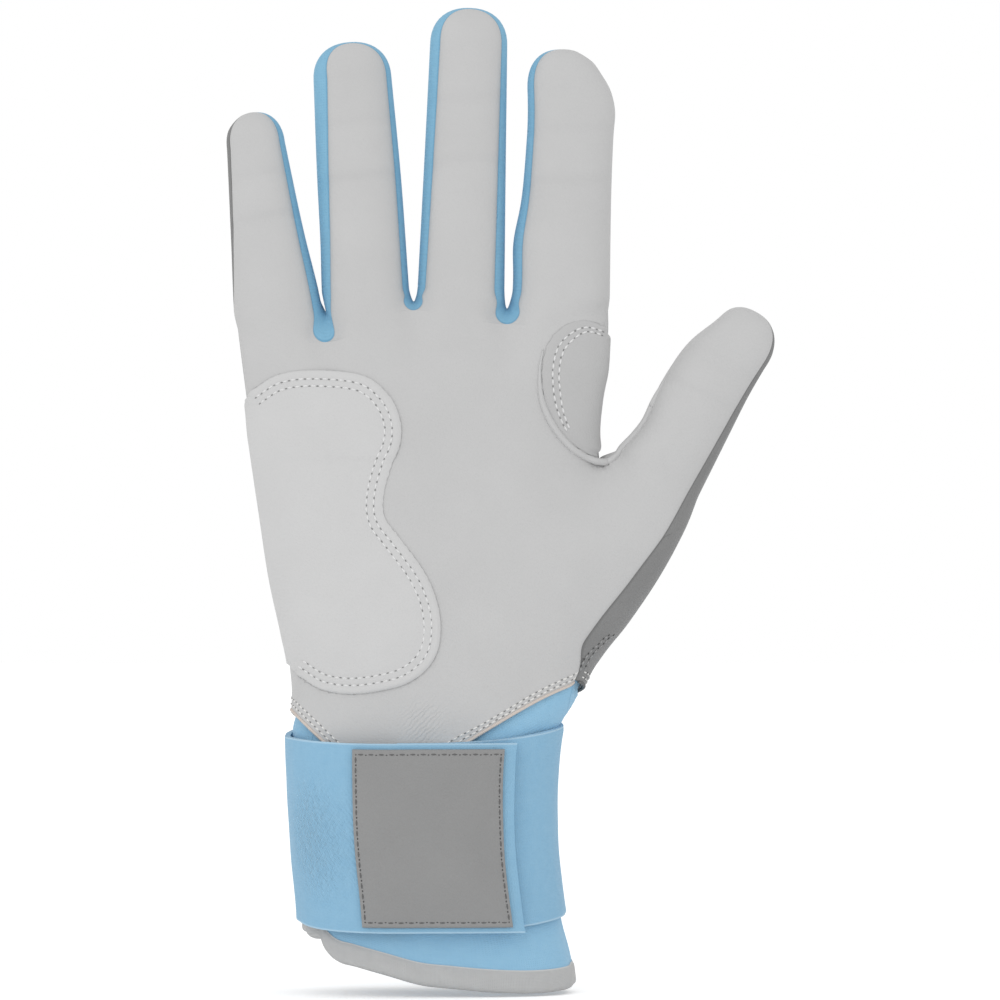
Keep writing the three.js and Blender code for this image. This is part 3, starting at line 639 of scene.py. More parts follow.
def new_group(name, inputs, outputs):
    group = bpy.data.node_groups.new(name, "ShaderNodeTree")
    for socket, kind, value in inputs:
        made = group.interface.new_socket(name=socket, in_out="INPUT", socket_type="NodeSocket" + kind)
        if value is not None:
            made.default_value = value
    for socket in outputs:
        group.interface.new_socket(name=socket, in_out="OUTPUT", socket_type="NodeSocketFloat")
    given = group.nodes.new("NodeGroupInput").outputs
    result = group.nodes.new("NodeGroupOutput").inputs
    return group, given, result


def mixed(tree, factor, first, second):
    """The colour between two, by a factor."""
    return add_node(tree, "Mix", {0: factor, 6: first, 7: second}, data_type="RGBA").outputs[2]


# Grain: fine pores round small flat cells, and slow changes of tone as in any tanned skin.
grain_group, given, result = new_group(
    "leather grain", [("Place", "Vector", None), ("Cells per metre", "Float", 1100.0)], ["Height", "Tone"]
)
pores = add_node(
    grain_group, "TexVoronoi", {"Vector": given["Place"], "Scale": given["Cells per metre"]},
    feature="DISTANCE_TO_EDGE",
)
cells = add_node(grain_group, "MapRange", {"Value": pores.outputs["Distance"], "From Max": 0.22})
fuzz = add_node(grain_group, "TexNoise", {"Vector": given["Place"], "Scale": 420.0, "Detail": 4.0})
grain_height = add_node(grain_group, "Math", {0: cells.outputs[0], 1: fuzz.outputs["Fac"]})
grain_group.links.new(grain_height.outputs[0], result["Height"])
tone = add_node(grain_group, "TexNoise", {"Vector": given["Place"], "Scale": 60.0, "Detail": 5.0})
grain_group.links.new(tone.outputs["Fac"], result["Tone"])


# Fine folds: slanting ridges round one place, where a soft sheet is gathered by the strap.
folds_group, given, result = new_group(
    "fine folds",
    [*((socket, "Vector", None) for socket in ("Place", "Centre", "Ridges")), ("Reach", "Float", 1.0)],
    ["Height"],
)
away = add_node(folds_group, "VectorMath", {0: given["Place"], 1: given["Centre"]}, operation="DISTANCE")
close = {"Value": away.outputs["Value"], "From Max": given["Reach"], "To Min": 1.0, "To Max": 0.0}
gathered = add_node(folds_group, "MapRange", close, interpolation_type="SMOOTHSTEP")
slanted = add_node(folds_group, "VectorMath", {0: given["Place"], 1: given["Ridges"]}, operation="MULTIPLY")
ridges = add_node(
    folds_group, "TexWave", {"Vector": slanted.outputs[0], "Scale": 1.0, "Distortion": 5.0, "Detail": 2.0},
    bands_direction="DIAGONAL",
)
fold_height = add_node(
    folds_group, "Math", {0: gathered.outputs[0], 1: ridges.outputs["Fac"]}, operation="MULTIPLY"
)
folds_group.links.new(fold_height.outputs[0], result["Height"])


def folded(tree, place, folds, normal):
    """A surface normal with fine folds; folds is (centre, ridges along each axis, reach, depth)."""
    centre, ridges, reach, depth = folds
    made = add_node(tree, "Group", {}, node_tree=folds_group)
    tree.links.new(place, made.inputs["Place"])
    made.inputs["Centre"].default_value = centre
    made.inputs["Ridges"].default_value = ridges
    made.inputs["Reach"].default_value = reach
    bump = {"Height": made.outputs["Height"], "Strength": 0.6, "Distance": depth, "Normal": normal}
    return add_node(tree, "Bump", bump).outputs[0]


def edge_colour_and_seam_shade(tree, body, edge, start, end, most):
    """A body colour that turns towards the edge's colour close to a sewn or cut edge; a darker edge colour is
    painted shade along the seam, a paler one is the cut edge's own colour.
    """
    border = add_node(tree, "Attribute", {}, attribute_name="border").outputs["Fac"]
    near = {"Value": border, "From Min": start, "From Max": end, "To Min": most, "To Max": 0.0}
    return mixed(tree, add_node(tree, "MapRange", near).outputs[0], body, edge)


def leather(name, dark, pale, edge, grain, folds=None):
    """A leather finish; close to a sewn edge it darkens towards the edge's colour, painted shade along that
    edge.
    """
    material, tree, shader = new_finish(name)
    place = add_node(tree, "TexCoord", {}).outputs["Object"]
    skin = add_node(tree, "Group", {}, node_tree=grain_group)
    tree.links.new(place, skin.inputs["Place"])
    body = mixed(tree, skin.outputs["Tone"], dark, pale)
    tree.links.new(edge_colour_and_seam_shade(tree, body, edge, start=0.1, end=0.7, most=0.5), shader["Base Color"])
    gloss = {"Value": skin.outputs["Height"], "From Max": 2.0, "To Min": 0.7, "To Max": 0.54}
    tree.links.new(add_node(tree, "MapRange", gloss).outputs[0], shader["Roughness"])
    relief = {"Height": skin.outputs["Height"], "Strength": grain, "Distance": 0.00012}
    normal = add_node(tree, "Bump", relief).outputs[0]
    if folds:
        normal = folded(tree, place, folds, normal)
    tree.links.new(normal, shader["Normal"])
    shader["Specular IOR Level"].default_value = 0.3
    return material


FAR_FROM_EDGE = 99.0
SHARP = math.radians(50)
WELD = 2e-6
LEAST_AREA = 0.3


def line_length(points):
    return sum((b - a).length for a, b in zip(points, points[1:]))


def to_piece(mesh_data, name, finishes):
    mesh = bpy.data.meshes.new(name)
    mesh_data.to_mesh(mesh)
    mesh_data.free()
    for material in finishes:
        mesh.materials.append(material)
    piece = bpy.data.objects.new(name, mesh)
    scene.collection.objects.link(piece)
    return piece


def lay_sheet(name, patches, core, thickness, finish, rim_finish=None):
    """A sewn sheet: grids laid on a surface by place(across, along), joined, and thickened inwards.

    Each patch is (columns, rows, place, sewn sides); core is a point behind the sheet."""
    sheet = bmesh.new()
    cut = sheet.loops.layers.uv.new("cut")
    border = sheet.verts.layers.float.new("border")
    _, _, first_place, _ = patches[0]
    middle_of_sheet = first_place(0.5, 0.5) * MM
    wide = long = 0
    for columns, rows, place, sewn in patches:
        made = bmesh.ops.create_grid(sheet, x_segments=columns, y_segments=rows, size=0.5, calc_uvs=True)
        width = max(line_length([place(i / columns, t) for i in range(columns + 1)]) for t in (0, 0.5, 1))
        length = max(line_length([place(u, j / rows) for j in range(rows + 1)]) for u in (0, 0.5, 1))
        wide, long = max(wide, width), long + length
        for vert in made["verts"]:
            u, v = vert.co.x + 0.5, vert.co.y + 0.5
            sides = {
                "left": u * width, "right": (1 - u) * width, "foot": v * length, "top": (1 - v) * length,
            }
            vert[border] = min([sides[side] for side in sewn], default=FAR_FROM_EDGE)
            vert.co = place(u, v) * MM
            for loop in vert.link_loops:
                loop[cut].uv = (u * width, v * length)
    bmesh.ops.remove_doubles(sheet, verts=sheet.verts, dist=WELD)
    sheet.normal_update()
    probe = min(sheet.faces, key=lambda f: (f.calc_center_median() - middle_of_sheet).length)
    if probe.normal.dot(probe.calc_center_median() - core * MM) < 0:
        bmesh.ops.reverse_faces(sheet, faces=sheet.faces)
    area = sum(face.calc_area() for face in sheet.faces)
    outside = sheet.faces[:]
    out = sheet.verts.layers.float_vector.new("out")
    for vert in sheet.verts:
        vert[out] = vert.normal
    grown = bmesh.ops.extrude_face_region(sheet, geom=outside, use_keep_orig=True)["geom"]
    for item in grown:
        if isinstance(item, bmesh.types.BMVert):
            item.co -= item[out] * thickness * MM
    sheet.verts.layers.float_vector.remove(out)
    bmesh.ops.recalc_face_normals(sheet, faces=sheet.faces)
    kept_faces = {*outside, *(item for item in grown if isinstance(item, bmesh.types.BMFace))}
    for face in sheet.faces:
        face.smooth = True
        face.material_index = 1 if rim_finish and face not in kept_faces else 0
    for edge in sheet.edges:
        edge.smooth = edge.calc_face_angle(0) < SHARP
    piece = to_piece(sheet, name, [finish, rim_finish] if rim_finish else [finish])
    wide, long = wide * MM, long * MM
    area = clamp(area, LEAST_AREA * wide * long, wide * long)
    return piece


def stand_for(nodes):
    """Hides the CAD nodes that a piece stands for."""
    if nodes:
        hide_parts(*nodes)


def fix(piece, slot, *nodes, body="hand"):
    """A piece that moves with one body."""
    stand_for(nodes)
    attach(piece, body)


def bend(piece, slot, nodes, bodies, start, end):
    """A piece that crosses between two bodies: its CAD nodes are hidden and its transform is baked, and it is
    not bent.
    """
    stand_for(nodes)
    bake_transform(piece)


def bend_at_base(piece, finger, slot, *nodes):
    """A piece that crosses a finger's base crease."""
    ends = [finger.place(0, 0, q) for q in (BEND_START, BEND_END)]
    bend(piece, slot, nodes, ("hand", f"{finger.name}_base"), *ends)


def bend_at_knuckle(piece, finger, slot, *nodes):
    """A piece that crosses a finger's knuckle crease."""
    ends = [finger.place(0, 0, finger.knuckle + reach) for reach in (-KNUCKLE_REACH, KNUCKLE_REACH)]
    bend(piece, slot, nodes, (f"{finger.name}_base", f"{finger.name}_tip"), *ends)


STEM_ROWS = 18
ROOT_ROWS = 14
END_ROWS = 44
FINGER_COLUMNS = 20
UPPER_ROWS = 22
LOWER_ROWS = 46
HAND_CORE = Vector((0, 0, CROTCH.z))
OPEN_ENDS = ("left", "right")


def joined_rows(first_rows, first, second_rows, second):
    """One place function from two, laid one after the other along a sheet."""
    total = first_rows + second_rows

    def place(u, v):
        at = v * total
        return first(u, at / first_rows) if at <= first_rows else second(u, (at - first_rows) / second_rows)

    return total, place


def lay_finger(finger, label, cad_label, stem, surface, columns, thickness, finish, slot, *web):
    """One face of a finger in two sheets: a root, with the stem that leads to it, and an end."""
    core = finger.place(0, 0, finger.knuckle)

    def root(u, t):
        return soften(surface(t * finger.split, u))

    def end(u, t):
        return soften(surface(mix(finger.split, finger.end, t), u))

    rows, place = joined_rows(STEM_ROWS, stem, ROOT_ROWS, root)
    grids = [(columns, rows, place, OPEN_ENDS)]
    piece = lay_sheet(f"{finger.name}_root_{label}", grids, core, thickness, finish)
    bend_at_base(piece, finger, slot, f"{finger.name}_base_{cad_label}", *web)
    grids = [(columns, END_ROWS, end, OPEN_ENDS)]
    piece = lay_sheet(f"{finger.name}_end_{label}", grids, core, thickness, finish)
    bend_at_knuckle(piece, finger, slot, f"{finger.name}_tip_{cad_label}")


def lay_leather(face, front, finish, slot):
    """The leather of the palm or the back, with that face of every finger."""
    grids = [
        (
            FINGERS * FINGER_COLUMNS, UPPER_ROWS,
            lambda u, v: soften(upper_point(front, FINGERS * u, v)), OPEN_ENDS,
        ),
        (
            STEMS * FINGER_COLUMNS, LOWER_ROWS,
            lambda u, v: soften(lower_point(front, STEMS * u, v)), (*OPEN_ENDS, "top"),
        ),
    ]
    fix(lay_sheet(f"{face}_leather", grids, HAND_CORE, LEATHER, finish), slot, f"{face}_panel")
    for finger in (*fingers, thumb):

        def stem(u, s, finger=finger):
            if finger is thumb:
                return soften(thumb_stem_point(front, u, s))
            return soften(stem_point(front, fingers.index(finger), u, s * s))

        def surface(s, u, finger=finger):
            return finger.panel_point(s, front, u)

        lay_finger(finger, f"{face}_leather", face, stem, surface, FINGER_COLUMNS, LEATHER, finish, slot)


WRINKLES = ((-0.002, -0.0215, 0.065), (-420, 0, 420), 0.009, 0.00022)

# Its third colour is painted shade along the seams at the leather's sewn edges.
palm_finish = leather("pale grey leather", grey(193), grey(202), grey(150), grain=0.25, folds=WRINKLES)
lay_leather("palm", True, palm_finish, "palm_leather")

# The back leather: a heavier, darker grey skin over the back of the hand and fingers. It wraps round the
# thumb's side on to the front, and is sewn to the palm leather edge to edge.
# Its third colour is painted shade along the seams at the leather's sewn edges.
back_finish = leather("dark grey leather", grey(128), grey(140), grey(92), grain=0.45)
lay_leather("back", False, back_finish, "back_leather")

# The side walls of the fingers: strips of blue stretch knit between front and back leather, which run
# down each finger, round the web between two fingers and over the tips of the two longest.
STRETCH = 0.8
WALL_COLUMNS = 10
WEB_ROUND = 0.8

knit_group, given, result = new_group(
    "knit", [("Cut", "Vector", None), ("Stitches per mm", "Float", 1.4)], ["Height", "Tone"]
)
turned = add_node(knit_group, "VectorMath", {0: given["Cut"]}, operation="SCALE")
knit_group.links.new(given["Stitches per mm"], turned.inputs["Scale"])
wales = add_node(
    knit_group, "TexWave", {"Vector": turned.outputs[0], "Scale": 0.314, "Distortion": 1.2, "Detail": 1.0},
    bands_direction="X",
)
courses = add_node(
    knit_group, "TexWave", {"Vector": turned.outputs[0], "Scale": 0.314, "Distortion": 0.6, "Detail": 1.0},
    bands_direction="Y",
)
loops = add_node(
    knit_group, "Math", {0: wales.outputs["Fac"], 1: courses.outputs["Fac"]}, operation="MULTIPLY"
)
knit_group.links.new(loops.outputs[0], result["Height"])
shade = add_node(knit_group, "TexNoise", {"Vector": given["Cut"], "Scale": 0.35, "Detail": 4.0})
knit_group.links.new(shade.outputs["Fac"], result["Tone"])


def fabric(name, dark, pale, edge, stitches, relief, sheen, folds=None):
    """A knitted finish that follows the cut of the sheet; its cut edge shows the edge colour, which is
    painted shade along the seam where it is darker than the knit.
    """
    material, tree, shader = new_finish(name)
    cut_map = add_node(tree, "UVMap", {}, uv_map="cut").outputs[0]
    knit = add_node(tree, "Group", {}, node_tree=knit_group)
    tree.links.new(cut_map, knit.inputs["Cut"])
    knit.inputs["Stitches per mm"].default_value = stitches
    body = mixed(tree, knit.outputs["Tone"], dark, pale)
    tree.links.new(edge_colour_and_seam_shade(tree, body, edge, start=0.25, end=0.55, most=0.8), shader["Base Color"])
    bump = {"Height": knit.outputs["Height"], "Strength": relief, "Distance": 0.00015}
    normal = add_node(tree, "Bump", bump).outputs[0]
    if folds:
        normal = folded(tree, cut_map, folds, normal)
    tree.links.new(normal, shader["Normal"])
    shader["Roughness"].default_value = 0.85
    shader["Specular IOR Level"].default_value = 0.2
    shader["Sheen Weight"].default_value = sheen
    shader["Sheen Roughness"].default_value = 0.4
    return material


# Its third, darker colour is painted shade along the seams with the leather.
stretch_finish = fabric(
    "blue stretch knit", paint(128, 181, 211), paint(142, 191, 218), paint(112, 164, 196),
    stitches=1.4, relief=0.5, sheen=0.1,
)


def web_point(g, side, u, s):
    """Half of the web beside a finger, from its saddle (s 0) up to the finger's crease (s 1)."""
    k, v, hand = (g, 1, 1) if side == "right" else (g - 1, 0, -1)
    rims = [stem_point(front, g, v, s) for front in (True, False)]
    tops = [fingers[g].wall_point(0, side, at) for at in (0, 0.5, 1)]
    bulge = fingers[g].wall_point(0, side, u) - mix(tops[0], tops[2], u)
    full = tops[1] - mix(tops[0], tops[2], 0.5)
    gap = (notch_lines[k][1] - tops[1].x) * hand * math.sqrt(clamp(s))
    swell = ((mix(*notch_lines[k], s) - mix(*rims, 0.5).x) * hand - gap) / (full.x * hand)
    rise = WEB_RISE[k] * math.sin(math.pi * clamp(u)) ** WEB_ROUND * (1 - s)
    return mix(*rims, u) + Vector((bulge.x * swell, bulge.y * ease(s), bulge.z * ease(s) + rise))


for g, finger in enumerate(fingers):
    for side in finger.walls:

        def web(u, s, g=g, side=side):
            return soften(web_point(g, side, u, s * s))

        def wall(s, u, finger=finger, side=side):
            return finger.wall_point(s, side, u)

        neighbours = fingers[g:g + 2] if side == "right" else fingers[g - 1:g + 1]
        between = "_".join(each.name for each in neighbours) + "_web"
        lay_finger(
            finger, f"{side}_wall", f"fourchette_{side}", web, wall, WALL_COLUMNS, STRETCH, stretch_finish,
            "stretch_knit", between,
        )

# The heel patch: a second layer of the palm's leather over the heel of the hand, lightly padded, with a
# turned edge and two rows of stitching inside it. Its straight side is caught in the glove's side seam.
PATCH = 1.1
PATCH_LIFT = 0.95
PATCH_PAD = 0.5
EDGE_ROLL = 1.0
NEEDLE_DENT = 0.32
DENT_WIDTH = 0.5
PATCH_COLUMNS = 44
PATCH_ROWS = 150
SIDE_INSET = 4
SEAM_CATCH = 5
HEEL_SIDE = -0.9995
HEEL_ROWS = (2.3, 4.2)
HEEL_RUN_OUT = (1.8, 4.2)
HEEL_KEEP = (0.01, 0.992)
LEAST_LIFT = 0.1
PAD_REACH = 9
CURVE_STEPS = 20
EDGE_STEP = 0.4
DRAW_FROM = 0.25
DRAW_LAST = 0.95
DRAW_TO = 0.4
STITCH_PITCH = 2.15
THREAD_LIFT = 0.06
HOLE_SIZE = (0.36, 0.3, 0.16)
BEAD_SIDES = (6, 5)
THREAD_FIBRE = (0.7, 3000.0)
HOLE_FIBRE = (0.8, 900.0)


def even_steps(points, step):
    """Points along a line, spaced as evenly as its length allows."""
    count = max(round(line_length(points) / step), 1)
    step = line_length(points) / count
    spaced, walked = [points[0]], 0
    for a, b in zip(points, points[1:]):
        span = (b - a).length
        while len(spaced) < count and walked + span >= step * len(spaced):
            spaced.append(a.lerp(b, (step * len(spaced) - walked) / span))
        walked += span
    return [*spaced, points[-1]]


def smooth_line(points, step):
    """Evenly spaced points on a smooth curve through the given ones."""
    dense = []
    for i in range(len(points) - 1):
        before, start, end, after = (points[clamp(k, 0, len(points) - 1)] for k in range(i - 1, i + 3))
        leave, arrive = (end - before) / 2, (after - start) / 2
        dense += [hermite(start, leave, end, arrive, k / CURVE_STEPS) for k in range(CURVE_STEPS)]
    return even_steps([*dense, points[-1]], step)


def course_line(course, step):
    """A smooth line through (x, z) places, as seen from the palm side."""
    return smooth_line([Vector((x, 0, z)) for x, z in course], step)


def on_palm(x, z, out):
    """A point that stands out from the palm's skin."""
    point = soften(Vector((x, -skin_depth(x, z, True), z)))
    return drawn_in(point, -out)


class Patch:
    """A patch on the palm: its curved edge, and the side that lies along the glove's own edge."""

    def __init__(self, edge, turn, side_share, right_edge, rows, ends=(1, 1)):
        self.edge = course_line(edge, EDGE_STEP)
        self.turn, self.right_edge, self.rows = turn, right_edge, rows
        self.side_share, self.ends = side_share, ends
        self.tree = KDTree(len(self.edge))
        for i, point in enumerate(self.edge):
            self.tree.insert(point, i)
        self.tree.balance()

    def drawn(self, share):
        """How a row of stitching draws closer to the edge towards the patch's ends."""
        first, last = self.ends
        return mix(first, 1, ease(share / DRAW_FROM)) * mix(last, 1, ease((DRAW_LAST - share) / DRAW_TO))

    def lift(self, x, z):
        _, nearest, inset = self.tree.find((x, 0, z))
        drawn = self.drawn(nearest / len(self.edge))
        dents = sum(bell((inset - row * drawn) / DENT_WIDTH) for row in self.rows)
        pad = PATCH_PAD * ease((inset - self.rows[1]) / PAD_REACH)
        raised = (PATCH_LIFT - LEAST_LIFT) * rounded(inset / EDGE_ROLL) - NEEDLE_DENT * dents + pad
        return LEAST_LIFT + raised * ease(skin_depth(x, z, True) / SEAM_CATCH)

    def surface(self, x, z):
        return on_palm(x, z, self.lift(x, z))

    def place(self, u, v):
        at = v * (len(self.edge) - 1)
        near = self.edge[int(at)].lerp(self.edge[min(int(at) + 1, len(self.edge) - 1)], at % 1)
        side_z = mix(self.edge[0].z - SIDE_INSET, self.edge[-1].z + SIDE_INSET, v)
        side_x = mix(ulnar_edge(side_z), self.right_edge(side_z), (1 + self.side_share) / 2)
        point = near.lerp(Vector((side_x, 0, side_z)), (1 - math.cos(math.pi * u)) / 2)
        return self.surface(point.x, point.z)

    def inset_line(self, inset, keep, run_out):
        """A line inside the edge over the kept share of its length, run out straight at both ends."""
        line = []
        for i, (a, b) in enumerate(zip(self.edge, self.edge[1:])):
            along = (b - a).normalized()
            inwards = Vector((along.z, 0, -along.x)) * self.turn
            line.append(a + inwards * inset * self.drawn(i / len(self.edge)))
        first, last = (int(share * len(line)) for share in keep)
        line = line[first:last]
        start = line[0] + (line[0] - line[1]).normalized() * run_out[0]
        end = line[-1] + (line[-1] - line[-2]).normalized() * run_out[1]
        return [self.surface(p.x, p.z) for p in (start, *line, end)]


# Its third colour is painted shadow along the patch's curved edge.
heel_finish = leather("paler grey leather", grey(202), grey(210), grey(160), grain=0.25)
heel = Patch(
    [
        (-46.5, 152.6), (-40, 156.4), (-30.4, 157.6), (-17.4, 156.2), (-10.6, 151), (-7.6, 144.4),
        (-7.6, 138), (-10, 131.4), (-11.8, 124), (-11.4, 118.4), (-7.6, 113.2), (-1, 104), (2.4, 95.4),
        (3, 87), (0.8, 80.2), (-5, 75), (-13, 72.6), (-21.2, 71.8), (-28.6, 73), (-33.6, 76),
    ],
    turn=1, side_share=HEEL_SIDE, right_edge=radial_edge, rows=HEEL_ROWS,
)
grids = [(PATCH_COLUMNS, PATCH_ROWS, heel.place, ("left",))]
fix(lay_sheet("heel_patch_leather", grids, HAND_CORE, PATCH, heel_finish), "palm_leather", "heel_patch")


def plain_finish(name, dark, pale, roughness, scale):
    """Thread, cut edges and the like: one colour with fine uneven tone."""
    material, tree, shader = new_finish(name)
    place = add_node(tree, "TexCoord", {}).outputs["Object"]
    uneven = add_node(tree, "TexNoise", {"Vector": place, "Scale": scale, "Detail": 3.0}).outputs["Fac"]
    tree.links.new(mixed(tree, uneven, dark, pale), shader["Base Color"])
    relief = {"Height": uneven, "Strength": 0.4, "Distance": 0.0001}
    tree.links.new(add_node(tree, "Bump", relief).outputs[0], shader["Normal"])
    shader["Roughness"].default_value = roughness
    shader["Specular IOR Level"].default_value = 0.25
    return material


def sew(name, lines, core, pitch, thread, needle_hole_shade, thread_radius=0.27, length=0.8):
    """Stitches along lines on a surface: a short thread between each two needle holes, and at each hole a
    small dark bead, painted shade of the hole.
    """
    stitches = bmesh.new()
    around, along_bead = BEAD_SIDES
    thread_size = (length * pitch / 2, thread_radius, thread_radius)
    for line in lines:
        spots = even_steps(line, pitch)
        for a, b in zip(spots, spots[1:]):
            along = (b - a).normalized()
            out = ((a - core).cross(along).cross(along) * -1).normalized()
            turned = Matrix((along, out.cross(along), out)).transposed().to_4x4()
            beads = (((a + b) / 2 + out * THREAD_LIFT, thread_size), (a, HOLE_SIZE))
            for sort, (middle, sizes) in enumerate(beads):
                spread = Matrix.Diagonal((*sizes, 1))
                placed = Matrix.Scale(MM, 4) @ Matrix.Translation(middle) @ turned @ spread
                bead = bmesh.ops.create_uvsphere(
                    stitches, u_segments=around, v_segments=along_bead, radius=1, matrix=placed
                )
                for face in {face for vert in bead["verts"] for face in vert.link_faces}:
                    face.material_index = sort
                    face.smooth = True
    return to_piece(stitches, name, [thread, needle_hole_shade])


pale_thread = plain_finish("pale grey thread", grey(216), grey(236), *THREAD_FIBRE)
# The needle holes are small dark beads, their colour painted shade in the holes.
pale_hole_shade = plain_finish("needle holes in pale leather", grey(130), grey(154), *HOLE_FIBRE)
heel_lines = [heel.inset_line(inset, HEEL_KEEP, HEEL_RUN_OUT) for inset in HEEL_ROWS]
fix(sew("heel_patch_stitching", heel_lines, HAND_CORE, STITCH_PITCH, pale_thread, pale_hole_shade), "palm_leather")

# The crotch patch: the same leather doubled beside the forefinger, where the bat rubs, sewn down with two
# rows of stitching. Below it the palm's edge is rolled into a welt that runs round the crotch of the thumb.
CROTCH_SIDE = 0.9995
CROTCH_ROWS = (2.6, 4.3)
CROTCH_RUN_OUT = (0.5, 0.5)
CROTCH_KEEP = (0, 0.8)
CROTCH_ENDS = (0.6, 0.3)
CROTCH_CORE = Vector((18, 0, 150))
WELT_COURSE = ((29.9, 163), (29, 157.3), (29.6, 149.6), (32.6, 142.8), (37, 137.4), (41.4, 134.4))
WELT_BEND = Vector((0, -0.3, -0.4))
WELT_RADIUS = 0.95
WELT_SIDES = 10
WELT_STEP = 0.7
WELT_OUT = 0.25
WELT_THIN = 0.25
WELT_FULL_AT = 0.5
WELT_FADE = 0.85
THUMB_WELT = (0.05, 0.14)
THUMB_WELT_PARTS = 3
THUMB_END_PARTS = 10
THUMB_WELT_PAST = 1

# The doubled leather is painted darker than the palm's, as shade on this side of the forefinger, and darker
# still along its curved edge, painted shadow there.
crotch_shaded_finish = leather("doubled grey leather", grey(185), grey(194), grey(148), grain=0.25)
crotch_patch = Patch(
    [
        (45.6, 169.6), (40.6, 171), (35.4, 169.4), (31.2, 165), (29.5, 158), (29.9, 150.6), (31.8, 145),
        (35.4, 139.8), (40.2, 136.2), (43.8, 134.4),
    ],
    turn=-1, side_share=CROTCH_SIDE, right_edge=forefinger_edge, rows=CROTCH_ROWS, ends=CROTCH_ENDS,
)
grids = [(PATCH_COLUMNS // 2, PATCH_ROWS // 2, crotch_patch.place, ("left",))]
piece = lay_sheet("crotch_patch_leather", grids, HAND_CORE, PATCH, crotch_shaded_finish)
fix(piece, "palm_leather", "crotch_patch")
crotch_lines = [crotch_patch.inset_line(inset, CROTCH_KEEP, CROTCH_RUN_OUT) for inset in CROTCH_ROWS]
piece = sew("crotch_patch_stitching", crotch_lines, CROTCH_CORE, STITCH_PITCH, pale_thread, pale_hole_shade)
fix(piece, "palm_leather")


def roll(name, line, radius_at, sides, finish):
    """A thin round roll along a line; radius_at gives its radius at each share of the length."""
    count = len(line) - 1
    tube = bmesh.new()
    border = tube.verts.layers.float.new("border")
    made = bmesh.ops.create_grid(tube, x_segments=count, y_segments=sides, size=0.5)
    for vert in made["verts"]:
        vert[border] = FAR_FROM_EDGE
        i = round((vert.co.x + 0.5) * count)
        turn = 2 * math.pi * (vert.co.y + 0.5)
        along = (line[min(i + 1, count)] - line[max(i - 1, 0)]).normalized()
        level = along.cross(Vector((0, -1, 0))).normalized()
        spoke = level * math.cos(turn) + level.cross(along) * math.sin(turn)
        vert.co = (line[i] + spoke * radius_at(i / count)) * MM
    bmesh.ops.remove_doubles(tube, verts=tube.verts, dist=WELD)
    bmesh.ops.holes_fill(tube, edges=[edge for edge in tube.edges if edge.is_boundary])
    bmesh.ops.recalc_face_normals(tube, faces=tube.faces)
    for face in tube.faces:
        face.smooth = True
    return to_piece(tube, name, [finish])


def growing_welt(t):
    return WELT_RADIUS * mix(WELT_THIN, 1, ease(t / WELT_FULL_AT))


def fading_welt(t):
    return WELT_RADIUS * (1 - WELT_FADE * ease(t))


welt_start, welt_end = THUMB_WELT
welt_line = [on_palm(p.x, p.z, WELT_OUT) for p in course_line(WELT_COURSE, WELT_STEP)]
crotch_end = thumb_stem_point(True, welt_start, 0)
halfway = mix(welt_line[-1], crotch_end, 0.5) + WELT_BEND
welt_line = even_steps([*welt_line, halfway, crotch_end], WELT_STEP)
fix(roll("crotch_welt", welt_line, growing_welt, WELT_SIDES, palm_finish), "palm_leather")

shares = [part / THUMB_WELT_PARTS for part in range(THUMB_WELT_PARTS + 1)]
thumb_line = [thumb_stem_point(True, mix(*THUMB_WELT, share), share) for share in shares]
thumb_line += [thumb.panel_point(share * thumb.split, True, welt_end) for share in shares[1:]]
thumb_line = smooth_line(thumb_line, WELT_STEP)
piece = roll("thumb_root_welt", thumb_line, lambda t: WELT_RADIUS, WELT_SIDES, palm_finish)
bend_at_base(piece, thumb, "palm_leather")

shares = [part / THUMB_END_PARTS for part in range(THUMB_END_PARTS + 1)]
places = [mix(thumb.split, thumb.knuckle + THUMB_WELT_PAST, share) for share in shares]
thumb_line = even_steps([thumb.panel_point(s, True, welt_end) for s in places], WELT_STEP)
piece = roll("thumb_end_welt", thumb_line, fading_welt, WELT_SIDES, palm_finish)
bend_at_knuckle(piece, thumb, "palm_leather")

# The hems of the palm and back leather: cut edges that lie over the cuff, each held by two rows of white
# stitching close to the edge.
HEM_ROWS = (1.4, 2.9)
HEM_PITCH = 2.0
CUT_EDGE = 0.42
HEM_SPAN = (0.03, 4.96)
HEM_STEPS = 240
HEM_PROBE = 0.1
CUT_EDGE_INSET = -0.15
CUT_EDGE_STEP = 0.9
CUT_EDGE_SIDES = 8
CUT_FIBRE = (0.85, 1400.0)
FINE_THREAD = 0.24

cut_edge = plain_finish("raw cut edge", paint(205, 194, 186), paint(218, 208, 200), *CUT_FIBRE)
dark_cut_edge = plain_finish("dark cut edge", grey(104), grey(122), *CUT_FIBRE)
white_thread = plain_finish("white thread", paint(222, 221, 219), paint(240, 239, 236), *THREAD_FIBRE)
# The needle holes are small dark beads, their colour painted shade in the holes.
dark_hole_shade = plain_finish("needle holes in dark leather", grey(70), grey(86), *HOLE_FIBRE)


def hem_line(front, inset):
    """A line along the hem of the palm or the back, at a distance inside its edge."""
    line = []
    for k in range(HEM_STEPS + 1):
        w = mix(*HEM_SPAN, k / HEM_STEPS)
        length = (lower_raw(front, w, 1 - HEM_PROBE) - lower_raw(front, w, 1)).length
        line.append(soften(lower_point(front, w, 1 - HEM_PROBE * inset / length)))
    return line


